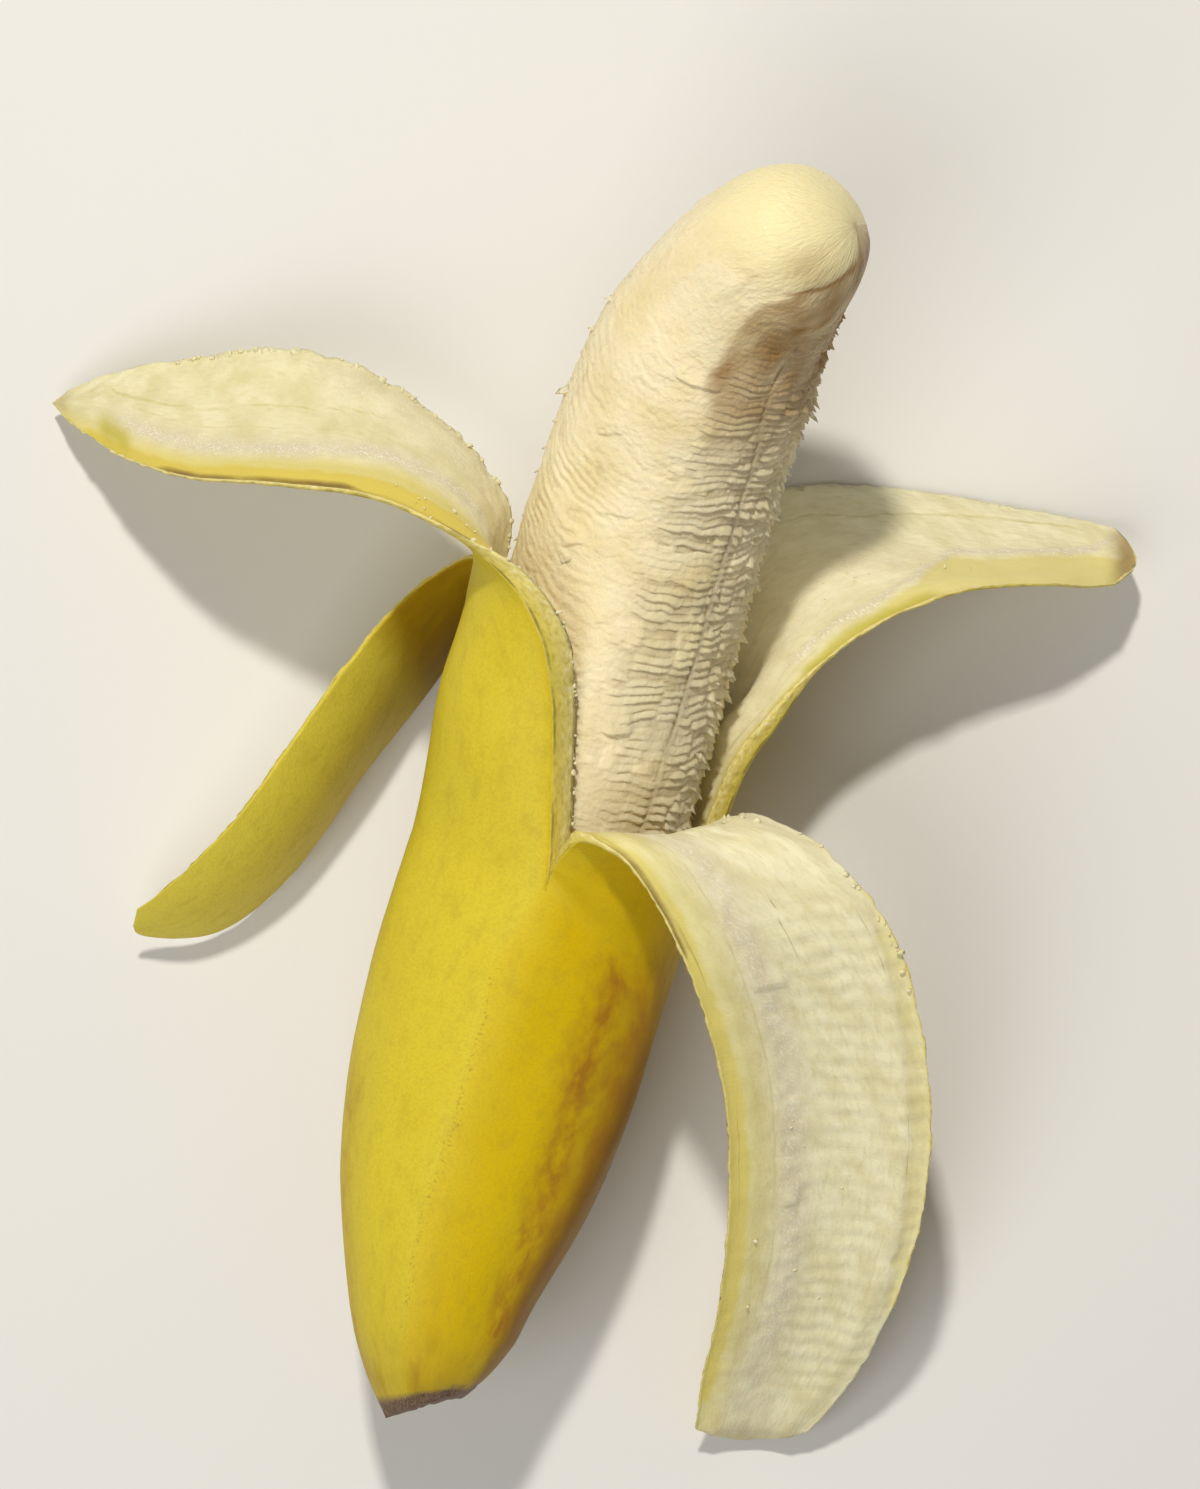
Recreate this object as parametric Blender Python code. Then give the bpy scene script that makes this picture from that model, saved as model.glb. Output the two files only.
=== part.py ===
"""A peeled banana that lies on its back.

The flesh stands in a cup of skin. Above the cup the skin is torn into four strips, which are folded
outwards: two to the left, one to the right and one that arches over the front and droops.
+Z is up, towards the side that shows, and +Y runs from the stub to the bared tip. The origin is the
small flat spot under the cup, on which the fruit lies. Bearings round the fruit are in degrees: 0 is
its right side, 90 the top, 180 the left side and 270 the underside.
"""

from typing import NamedTuple

import bmesh
import bpy
import numpy as np

MM = 0.001  # every size below is in millimetres, and is turned to metres when a mesh is made

# The fruit's middle line, from the stub to the bared tip: x, y, z
AXIS = [
    (-10.6, -53.3, 25.2), (-8, -34.2, 22.7), (-2.2, -11, 19.4), (4.8, 16, 19.4), (12.5, 43, 23),
    (20.7, 72, 32.3), (28.3, 90.7, 43.5), (35.7, 99.5, 54), (44.9, 102.4, 61.3),
]
# Distance from the stub, and the radius there
SKIN_RADIUS = [
    (0, 5), (4, 7.7), (8, 9.6), (18, 12.9), (30, 16.6), (43, 18.9), (57, 19.7), (82, 19.1), (110, 18.8),
]
FLESH_RADIUS = [
    (11, 7), (18, 10), (30, 13.3), (43, 15.5), (57, 16.6), (82, 16.4), (120, 15.9), (140, 15.4),
    (152, 14.6), (162, 12.7), (180, 10),
]
FLESH_FOOT = 12.0  # where the flesh starts inside the cup
FOOT_DOME = 10.0  # length of its rounded foot
TIP_DOME = 10.2  # and of its rounded tip
CLEARANCE = 0.4  # between the flesh and the skin round it
PIT_REACH = 40.0  # over which the skin's thick foot thins to its even wall
STUB_SLANT = 4.0  # how much shorter the fruit is on the right of its slanted stub
STUB_REACH = 12.0  # length over which the slant fades out

RIDGES = 5  # blunt corners round the skin
RIDGE_HEIGHT = 0.02  # of the radius
RIDGE_SHARPNESS = 0.35  # share of a wave of half the pitch that sharpens the corners
RIDGE_BEARING = 90.0  # of the ridge at which the front strips part
RIDGE_PART = 75.0  # the distance from the stub at which they part
RIDGE_TWIST = 0.3  # degrees that the ridges wind for each millimetre

SKIN_BASE = 2.8  # thickness of a strip where it leaves the cup
SKIN_TIP = 1.3  # and at its tip
STRIP_EASE = 16.0  # length over which a strip leaves the cup's form
TIP_ROUNDING = 3.0  # how far the corners of a strip's tip fall back
TIP_SHARPNESS = 8  # how close to the tip they do so
TEAR_GAP = 0.03  # share of a strip's width that its tears take just above the cup
TEAR_START, TEAR_END = 5.0, 25.0  # where they have opened, and where the strip has its full width again
BEND_SPAN = 16.0  # length over which a strip's section flattens at its bend
ARCH_ON_FRUIT, ARCH_AT_BEND, ARCH_ALONG, ARCH_AT_TIP = 90, 34, 52, 36  # degrees across a strip's section

SUTURES = (46, 166, 286)  # bearings of the three grooves along the flesh
SUTURE_DEPTH = 0.6
SUTURE_WIDTH = 7.0  # degrees
FURROW_PITCH = 4.2  # of the wrinkles across the flesh
FURROW_DEPTH = 0.22
FURROW_SAG, FURROW_CREST = 1.6, 70.0  # how far they sag towards the stub, and the bearing of their crest
FURROW_WAVES, FURROW_SWAY = 3, 1.3  # waves round the flesh that keep them uneven, and radians they shift
BARED = 84.0  # distance from the stub at which the flesh comes clear of the cup
RELIEF_EASE = 12.0  # length over which its relief starts below that
SMOOTH_TIP = 14.0  # length over which the relief dies away at the tip
FLAKES = [  # raised scales on the flesh: bearing, distance from the stub, half widths, height
    (166, 141, 9, 2.2, 1.2), (14, 137, 9, 2.2, 1.2), (8, 119, 8, 2.0, 1.4), (110, 94, 16, 2.6, 0.9),
    (70, 130, 14, 2.6, 0.6), (52, 104, 9, 2.4, 0.7), (134, 116, 12, 2.2, 0.6), (0, 98, 9, 2.2, 0.9),
]

CUP_ROWS, STRIP_ROWS, STRIP_COLUMNS = 12, 30, 7
CUP_CROWDING = 1.6  # how much closer the cup's rows lie towards the stub
FLESH_ROWS, DOME_ROWS, FLESH_COLUMNS = 92, 6, 24


class Strip(NamedTuple):
    """A torn strip of skin, from edge to edge."""

    bearings: tuple  # of its two edges on the cup
    tears: tuple  # how far from the stub each edge is still whole
    bend: float  # how far past the tear it folds back
    ribs: list  # places of its two edges, from the cup to the tip


STRIPS = {
    "left": Strip((90, 180), (75, 77), 42, [
        ((6.5, 43, 44.5), (-8, 46, 27)), ((4, 53.5, 48), (-3.5, 57.5, 27.5)),
        ((-1.8, 60.8, 49), (-1, 69, 25.5)), ((-15, 68.4, 45), (-12, 82.4, 23.5)),
        ((-29, 71, 37.5), (-27, 90, 18.5)), ((-43.5, 73, 26), (-42.5, 89.5, 12.5)),
        ((-54, 77.5, 14), (-53.5, 88, 8)), ((-63, 84, 3), (-63, 85, 2.5)),
    ]),
    "back_left": Strip((180, 266), (77, 70), 38, [
        ((-6, 48, 21.5), (10.5, 48, 3)), ((-3.5, 58, 22.5), (9, 58, 2)),
        ((-4, 62, 23), (2, 58.5, 1)), ((-9, 60, 23.5), (-5, 52.5, 0.6)),
        ((-16, 54, 24), (-11, 44.5, 0.6)), ((-25, 42.5, 24), (-20, 33, 0.6)),
        ((-36.3, 27.2, 20.5), (-31, 18, 0.8)), ((-45.9, 18, 14.5), (-40.5, 11, 1.5)),
        ((-53, 13, 7), (-49.5, 10, 3)),
    ]),
    "right": Strip((266, 356), (70, 52), 54, [
        ((9.5, 31, 1.2), (28, 21.5, 20.5)), ((14.5, 49.5, 3), (33, 34.5, 23.5)),
        ((19.5, 58.5, 3), (37, 40, 25)), ((27, 66.2, 2.5), (42, 47, 26)),
        ((38.5, 71.9, 1), (49, 52.5, 26.5)), ((52, 72.4, 0.8), (60.5, 57.3, 25.5)),
        ((68.5, 69.9, 1), (72.5, 58.5, 21.5)), ((81, 67.5, 2), (80, 58.5, 15.5)),
        ((87, 65.7, 6), (86.3, 59.6, 10.5)),
    ]),
    "front": Strip((-4, 90), (52, 75), 24, [
        ((25.5, 14.5, 26), (6.8, 21.5, 41.3)), ((28, 21.5, 32), (8.3, 23.2, 43.7)),
        ((32, 26.5, 37.5), (10.5, 24.5, 46.5)), ((38.5, 25, 41), (16, 22, 48.5)),
        ((45.5, 19.5, 42), (21, 15, 47)), ((51.5, 11, 40.5), (24.5, 7.5, 44.5)),
        ((56, -7, 34), (29, -8, 36.5)), ((56, -23.5, 26.5), (30, -23.5, 28)),
        ((52.5, -38, 18), (29, -38, 19)), ((47, -50, 9.5), (27, -49.5, 10.5)),
        ((39.5, -60, 2.5), (26, -59.5, 3)),
    ]),
}


def unit(vectors):
    """Vectors at length 1."""
    return vectors / np.linalg.norm(vectors, axis=-1, keepdims=True)


def ease(share):
    """A smooth step from 0 to 1."""
    share = np.clip(share, 0, 1)
    return share * share * (3 - 2 * share)


def mix(pair, share):
    """The value between the two of a pair."""
    return pair[0] + (pair[1] - pair[0]) * share


def smooth_rows(knots, rows, at):
    """Rows of the smooth curve through rows of numbers that stand at increasing knots."""
    slopes = np.gradient(rows, knots, axis=0)
    at = np.clip(at, knots[0], knots[-1])
    left = np.clip(np.searchsorted(knots, at, side="right") - 1, 0, len(knots) - 2)
    step = (knots[left + 1] - knots[left])[..., None]
    t = (at - knots[left])[..., None] / step
    pull = slopes[left] * t * (1 - t) ** 2 - slopes[left + 1] * t * t * (1 - t)
    return rows[left] * (1 + 2 * t) * (1 - t) ** 2 + rows[left + 1] * t * t * (3 - 2 * t) + step * pull


def curve(knots, at):
    """Heights at each place of the smooth curve through (place, height) knots."""
    table = np.array(knots, float)
    return smooth_rows(table[:, 0], table[:, 1:], np.asarray(at, float))[..., 0]


class Course:
    """A smooth line through stations, read by the distance along it.

    A station is a point, and may go on with more numbers, which are carried along.
    """

    SAMPLES = 40  # for each stretch between stations
    HALF_STEP = 0.5  # of the distance over which a heading is measured

    def __init__(self, stations):
        stations = np.array(stations, float)
        gaps = np.sqrt(np.linalg.norm(np.diff(stations[:, :3], axis=0), axis=1))
        knots = np.concatenate([[0], np.cumsum(gaps)])
        places = np.arange(len(gaps) * self.SAMPLES + 1) / self.SAMPLES
        self.rows = smooth_rows(knots, stations, np.interp(places, np.arange(len(knots)), knots))
        steps = np.linalg.norm(np.diff(self.rows[:, :3], axis=0), axis=1)
        self.distances = np.concatenate([[0], np.cumsum(steps)])
        self.marks = self.distances[:: self.SAMPLES]  # distance at each station
        self.length = self.distances[-1]

    def at(self, distance):
        """Rows at each distance."""
        return np.stack([np.interp(distance, self.distances, column) for column in self.rows.T], axis=-1)

    def heading(self, distance):
        """Unit directions at each distance."""
        distance = np.clip(distance, self.HALF_STEP, self.length - self.HALF_STEP)
        return unit((self.at(distance + self.HALF_STEP) - self.at(distance - self.HALF_STEP))[..., :3])


FRUIT = Course(AXIS)


def round_fruit(bearing, distance, radius):
    """Points at a radius from the fruit's middle line."""
    heading = FRUIT.heading(distance)
    right = unit(np.array([1.0, 0, 0]) - heading[..., :1] * heading)
    up = np.cross(right, heading)
    angle = np.radians(bearing)[..., None]
    return FRUIT.at(distance) + np.asarray(radius)[..., None] * (np.cos(angle) * right + np.sin(angle) * up)


def skin_radius(bearing, distance):
    """Radius of the skin's outside, with its blunt ridges."""
    turn = np.radians(RIDGES * (bearing - RIDGE_BEARING - RIDGE_TWIST * (RIDGE_PART - distance)))
    corner = np.cos(turn) + RIDGE_SHARPNESS * np.cos(2 * turn)
    return curve(SKIN_RADIUS, distance) * (1 + RIDGE_HEIGHT * corner)


def flesh_radius(distance):
    """Radius of the flesh without its relief: a long body between two domes."""
    foot = np.clip((FLESH_FOOT + FOOT_DOME - distance) / FOOT_DOME, 0, 1)
    tip = np.clip((distance - FRUIT.length + TIP_DOME) / TIP_DOME, 0, 1)
    return curve(FLESH_RADIUS, distance) * np.sqrt(1 - foot**2) * np.sqrt(1 - tip**2)


def slant(bearing, distance, spread):
    """How far the slanted stub shifts points along the fruit. A spread is 0 in the middle and 1 outside."""
    share = (1 + spread * np.cos(np.radians(bearing))) / 2
    return STUB_SLANT * share * np.clip(1 - distance / STUB_REACH, 0, 1)


def bearing_gap(bearing, centre):
    """Degrees from one bearing to another, from -180 to 180."""
    return (bearing - centre + 180) % 360 - 180


def flesh_relief(bearing, distance):
    """Height of the bared flesh's grooves, wrinkles and flakes above its plain form."""
    groove = sum(np.exp(-((bearing_gap(bearing, centre) / SUTURE_WIDTH) ** 2)) for centre in SUTURES)
    sag = FURROW_SAG * np.cos(np.radians(2 * (bearing - FURROW_CREST)))
    sway = FURROW_SWAY * np.sin(np.radians(FURROW_WAVES * bearing))
    furrow = np.sin(2 * np.pi * (distance + sag) / FURROW_PITCH + sway)
    relief = FURROW_DEPTH * furrow * (1 - groove) - SUTURE_DEPTH * groove
    for centre, place, half_width, half_length, height in FLAKES:
        across = bearing_gap(bearing, centre) / half_width
        along = (distance - place) / half_length
        relief = relief + height * np.exp(-(across**2 + along**2))
    fade = ease((distance - BARED) / RELIEF_EASE + 1) * ease((FRUIT.length - distance) / SMOOTH_TIP - 1)
    return relief * fade


class Gore:
    """A quarter of the skin: its share of the cup, and the strip torn from it."""

    def __init__(self, strip):
        self.strip = strip
        below = self.edges_on_cup(-STRIP_EASE)
        stations = [below, self.edges_on_cup(0)] + [np.array(rib, float) for rib in strip.ribs]
        self.course = Course([np.concatenate([edges.mean(axis=0), *edges]) for edges in stations])
        self.start = self.course.marks[1]
        self.length = self.course.length - self.start

    def edges_on_cup(self, past_tear):
        """Places of the two edges on the cup, at a distance past their tears."""
        bearing = np.array(self.strip.bearings, float)
        distance = np.array(self.strip.tears, float) + past_tear
        return round_fruit(bearing, distance, skin_radius(bearing, distance))

    def arch(self, distance):
        """Degrees across the strip's section: as on the fruit up to its bend, and flatter past it."""
        start, end = self.strip.bend - BEND_SPAN / 2, self.strip.bend + BEND_SPAN / 2
        knots = [
            (0, ARCH_ON_FRUIT), (start, ARCH_ON_FRUIT), (end, ARCH_AT_BEND),
            (end + 2 * BEND_SPAN, ARCH_ALONG), (self.length, ARCH_AT_TIP),
        ]
        return curve(knots, distance)

    def ribbon(self, across, distance):
        """Points of the strip's outside, and the directions that face outwards there."""
        row = self.course.at(self.start + distance)
        middle, first, second = row[..., :3], row[..., 3:6], row[..., 6:]
        width = np.linalg.norm(second - first, axis=-1, keepdims=True)
        side = (second - first) / width
        outwards = unit(np.cross(self.course.heading(self.start + distance), side))
        arch = np.radians(self.arch(distance))[..., None]
        radius = width / 2 / np.sin(arch / 2)
        angle = arch * (across - 0.5)[..., None]
        facing = np.sin(angle) * side + np.cos(angle) * outwards
        return middle + radius * (facing - np.cos(arch / 2) * outwards), facing

    def sheets(self, across, row):
        """Points of the outside and of the inside, for shares across and rows from the stub to the tip."""
        bearing, tear = mix(self.strip.bearings, across), mix(self.strip.tears, across)
        whole = np.clip((row - 1) / (CUP_ROWS - 1), 0, 1)
        height = tear * whole**CUP_CROWDING
        spread = np.minimum(row, 1)
        level = height + slant(bearing, height, spread)
        outside = round_fruit(bearing, level, spread * skin_radius(bearing, height))
        pit = height + (FLESH_FOOT - CLEARANCE) * np.clip(1 - height / PIT_REACH, 0, 1)
        inside = round_fruit(bearing, pit, spread * (flesh_radius(pit) + CLEARANCE))

        reach = np.clip((row - CUP_ROWS) / STRIP_ROWS, 0, 1)
        distance = reach * self.length - TIP_ROUNDING * (2 * across - 1) ** 2 * reach**TIP_SHARPNESS
        torn = ease(distance / TEAR_START) * ease((TEAR_END - distance) / (TEAR_END - TEAR_START))
        across = 0.5 + (across - 0.5) * (1 - TEAR_GAP * torn)
        points, facing = self.ribbon(across, distance)
        root, _ = self.ribbon(across, np.zeros_like(distance))
        left_cup = ease(distance / STRIP_EASE)[..., None]
        thickness = mix((SKIN_BASE, SKIN_TIP), reach)[..., None]
        wall = mix((inside - outside, -facing * thickness), left_cup)
        free = (row > CUP_ROWS)[..., None]
        outside = np.where(free, points + (outside - root) * (1 - left_cup), outside)
        inside = np.where(free, outside + wall, inside)
        return outside, inside


def on_floor(points):
    """Points lifted to the floor where they would sink into it."""
    points = points.copy()
    points[..., 2] = np.maximum(points[..., 2], 0)
    return points


def place(verts, points):
    """Move vertices to points given in millimetres."""
    for vert, point in zip(verts, points):
        vert.co = point * MM


def material(name, colour, roughness):
    """A plain finish."""
    finish = bpy.data.materials.new(name)
    finish.use_nodes = True
    shader = finish.node_tree.nodes["Principled BSDF"]
    shader.inputs["Base Color"].default_value = (*colour, 1)
    shader.inputs["Roughness"].default_value = roughness
    return finish


def add_object(name, bm, finish, collection):
    """An object with a finish, made from a bmesh."""
    mesh = bpy.data.meshes.new(name)
    bm.to_mesh(mesh)
    bm.free()
    mesh.materials.append(finish)
    mesh.shade_smooth()
    collection.objects.link(bpy.data.objects.new(name, mesh))


def face_outwards(bm):
    """A closed bmesh with its faces turned out."""
    bmesh.ops.recalc_face_normals(bm, faces=bm.faces[:])
    if bm.calc_volume(signed=True) < 0:
        bmesh.ops.reverse_faces(bm, faces=bm.faces[:])
    return bm


def peel_mesh():
    """The whole skin: four gores, one at the cup, with the inner sheet drawn out of the outer one."""
    bm = bmesh.new()
    rows = CUP_ROWS + STRIP_ROWS
    outer, inner = [], []
    for strip in STRIPS.values():
        grid = bmesh.ops.create_grid(bm, x_segments=STRIP_COLUMNS, y_segments=rows, size=1)["verts"]
        share = np.array([vert.co[:2] for vert in grid]) / 2 + 0.5
        outside, inside = Gore(strip).sheets(share[:, 0], np.round(share[:, 1] * rows))
        outer += list(outside)
        inner += list(inside)
    depth = bm.verts.layers.float_vector.new("inside")
    for vert, outside, inside in zip(bm.verts, on_floor(np.array(outer)), inner):
        vert.co = outside * MM
        vert[depth] = inside * MM
    bmesh.ops.remove_doubles(bm, verts=bm.verts[:], dist=0.01 * MM)
    drawn = bmesh.ops.extrude_face_region(bm, geom=bm.faces[:], use_keep_orig=True)["geom"]
    for vert in drawn:
        if isinstance(vert, bmesh.types.BMVert):
            vert.co = vert[depth]
    return face_outwards(bm)


def flesh_mesh():
    """The flesh: a ball drawn out along the fruit's middle line."""
    bm = bmesh.new()
    bmesh.ops.create_uvsphere(bm, u_segments=FLESH_COLUMNS, v_segments=FLESH_ROWS, radius=1)
    ball = np.array([vert.co for vert in bm.verts])
    ring = np.round(np.arccos(np.clip(-ball[:, 2], -1, 1)) / np.pi * FLESH_ROWS)
    bearing = np.degrees(np.arctan2(ball[:, 1], ball[:, 0]))
    distance = ring_heights()[ring.astype(int)]
    pole = (ring > 0) & (ring < FLESH_ROWS)
    radius = pole * (flesh_radius(distance) + flesh_relief(bearing, distance))
    place(bm.verts, on_floor(round_fruit(bearing, distance, radius)))
    return face_outwards(bm)


def ring_heights():
    """Distances from the stub of the flesh's rings: even along its body, and closer over its domes."""
    turn = np.linspace(0, np.pi / 2, DOME_ROWS, endpoint=False)
    foot = FLESH_FOOT + FOOT_DOME * (1 - np.cos(turn))
    body = np.linspace(FLESH_FOOT + FOOT_DOME, FRUIT.length - TIP_DOME, FLESH_ROWS + 1 - 2 * DOME_ROWS)
    tip = FRUIT.length - TIP_DOME * (1 - np.cos(turn[::-1]))
    return np.concatenate([foot, body, tip])


def main():
    """Build the banana."""
    for thing in list(bpy.data.objects):
        bpy.data.objects.remove(thing)
    fruit = bpy.data.collections.new("peeled_banana")
    bpy.context.scene.collection.children.link(fruit)
    add_object("peel", peel_mesh(), material("banana skin", (0.78, 0.60, 0.06), 0.45), fruit)
    add_object("flesh", flesh_mesh(), material("banana flesh", (0.80, 0.70, 0.46), 0.55), fruit)


main()
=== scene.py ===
"""The looks of a peeled banana that lies on its back, dressed round its solid model.

Places are in millimetres until a mesh is filled, and bearings round the fruit are in degrees: 0 is
its right side, 90 the top, 180 the left side and 270 the underside. Distances run along the fruit
from its stub. The skin is one piece: a cup, and four strips torn from it and folded outwards.
"""

import itertools
import logging
import math
from dataclasses import dataclass, field
from enum import Enum
from functools import cached_property
from typing import Mapping, Sequence

import bmesh
import bpy
import numpy as np
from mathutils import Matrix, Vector


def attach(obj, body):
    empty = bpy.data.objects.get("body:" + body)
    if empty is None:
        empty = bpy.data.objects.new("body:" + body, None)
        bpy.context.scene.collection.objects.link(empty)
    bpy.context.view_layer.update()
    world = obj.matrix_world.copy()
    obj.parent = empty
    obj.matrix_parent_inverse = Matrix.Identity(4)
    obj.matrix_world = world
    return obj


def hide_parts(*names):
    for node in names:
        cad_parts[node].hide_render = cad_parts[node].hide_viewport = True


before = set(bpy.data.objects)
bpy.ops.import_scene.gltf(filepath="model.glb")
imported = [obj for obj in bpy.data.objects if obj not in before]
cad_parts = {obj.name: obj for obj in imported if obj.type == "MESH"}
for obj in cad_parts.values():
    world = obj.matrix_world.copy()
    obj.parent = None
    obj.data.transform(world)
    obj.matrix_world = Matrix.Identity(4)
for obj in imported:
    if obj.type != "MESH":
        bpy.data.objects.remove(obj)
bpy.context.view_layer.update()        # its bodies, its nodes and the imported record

BODY = "root"
MM = 0.001

log = logging.getLogger("peeled_banana")

Point = tuple[float, float, float]
Pair = tuple[float, float]
Array = np.ndarray
Socket = bpy.types.NodeSocket
Tree = bpy.types.NodeTree

HASH_STEPS = (73856093, 19349663, 83492791, 15485863)  # large primes that scatter lattice cells
HASH_TWIST = 1274126177
HASH_MASK = 0xFFFF


def unit(vectors: Array) -> Array:
    """Vectors at length 1."""
    return vectors / np.linalg.norm(vectors, axis=-1, keepdims=True)


def ease(share: Array) -> Array:
    """A smooth step from 0 to 1."""
    share = np.clip(share, 0, 1)
    return share * share * (3 - 2 * share)


def mix(pair: Sequence, share: Array) -> Array:
    """The value between the two of a pair."""
    return pair[0] + (pair[1] - pair[0]) * share


def hump(offset: Array) -> Array:
    """A bell that is 1 at no offset and close to 0 past an offset of 2."""
    return np.exp(-np.square(offset))


def window(place: Array, start: float, end: float, fade: float) -> Array:
    """1 between start and end, and 0 past a fade on either side."""
    return ease((place - start) / fade + 1) * ease((end - place) / fade + 1)


def bearing_gap(bearing: Array, centre: Array) -> Array:
    """Degrees from one bearing to another, from -180 to 180."""
    return (bearing - centre + 180) % 360 - 180


def scatter(cell: Array, seed: int) -> Array:
    """Random numbers from -1 to 1 that belong to the cells of a lattice.

    Args:
        cell: Whole numbers, three to a cell.
        seed: Picks one of many such lattices.

    Returns:
        One number a cell.
    """
    mixed = seed * HASH_STEPS[3] ^ cell[..., 0] * HASH_STEPS[0]
    mixed = mixed ^ cell[..., 1] * HASH_STEPS[1] ^ cell[..., 2] * HASH_STEPS[2]
    mixed = (mixed ^ mixed >> 13) * HASH_TWIST
    return ((mixed ^ mixed >> 16) & HASH_MASK) * (2 / HASH_MASK) - 1


def noise(*place: Array, seed: int = 0) -> Array:
    """Smooth noise from -1 to 1, with a hill or a dip about every unit.

    Args:
        *place: One to three coordinates.
        seed: Picks one of many such noises.

    Returns:
        The noise at each place.
    """
    flat = (0.5,) * (3 - len(place))
    spot = np.stack(np.broadcast_arrays(*place, *flat), axis=-1).astype(float)
    cell = np.floor(spot).astype(np.int64)
    share = ease(spot - cell)
    total = np.zeros(spot.shape[:-1])
    for corner in itertools.product((0, 1), repeat=3):
        weight = np.prod(np.where(corner, share, 1 - share), axis=-1)
        total += weight * scatter(cell + np.array(corner), seed)
    return total


def smooth_rows(knots: Array, rows: Array, at: Array) -> Array:
    """Reads the smooth curve through rows of numbers.

    Args:
        knots: Where the rows stand, increasing.
        rows: The numbers at each knot.
        at: Where to read.

    Returns:
        A row for each place.
    """
    slopes = np.gradient(rows, knots, axis=0)
    at = np.clip(at, knots[0], knots[-1])
    left = np.clip(np.searchsorted(knots, at, side="right") - 1, 0, len(knots) - 2)
    step = (knots[left + 1] - knots[left])[..., None]
    t = (at - knots[left])[..., None] / step
    pull = slopes[left] * t * (1 - t) ** 2 - slopes[left + 1] * t * t * (1 - t)
    return rows[left] * (1 + 2 * t) * (1 - t) ** 2 + rows[left + 1] * t * t * (3 - 2 * t) + step * pull


def curve(knots: Sequence[Pair], at: Array) -> Array:
    """Heights at each place of the smooth curve through (place, height) knots."""
    table = np.array(knots, float)
    return smooth_rows(table[:, 0], table[:, 1:], np.asarray(at, float))[..., 0]


class Course:
    """A smooth line through stations, read by the distance along it.

    A station is a point, and may go on with more numbers, which are carried along.
    """

    SAMPLES = 40  # for each stretch between stations
    HALF_STEP = 0.5  # of the distance over which a heading is measured

    def __init__(self, stations: Sequence) -> None:
        """Sets out the line.

        Args:
            stations: Its stations, in order.
        """
        table = np.array(stations, float)
        gaps = np.sqrt(np.linalg.norm(np.diff(table[:, :3], axis=0), axis=1))
        knots = np.concatenate([[0], np.cumsum(gaps)])
        places = np.arange(len(gaps) * self.SAMPLES + 1) / self.SAMPLES
        self.rows = smooth_rows(knots, table, np.interp(places, np.arange(len(knots)), knots))
        steps = np.linalg.norm(np.diff(self.rows[:, :3], axis=0), axis=1)
        self.distances = np.concatenate([[0], np.cumsum(steps)])
        self.marks = self.distances[:: self.SAMPLES]  # distance at each station
        self.length = self.distances[-1]

    def at(self, distance: Array) -> Array:
        """Rows at each distance."""
        return np.stack([np.interp(distance, self.distances, column) for column in self.rows.T], axis=-1)

    def heading(self, distance: Array) -> Array:
        """Unit directions at each distance."""
        distance = np.clip(distance, self.HALF_STEP, self.length - self.HALF_STEP)
        ahead, behind = self.at(distance + self.HALF_STEP), self.at(distance - self.HALF_STEP)
        return unit(ahead[..., :3] - behind[..., :3])


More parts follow.
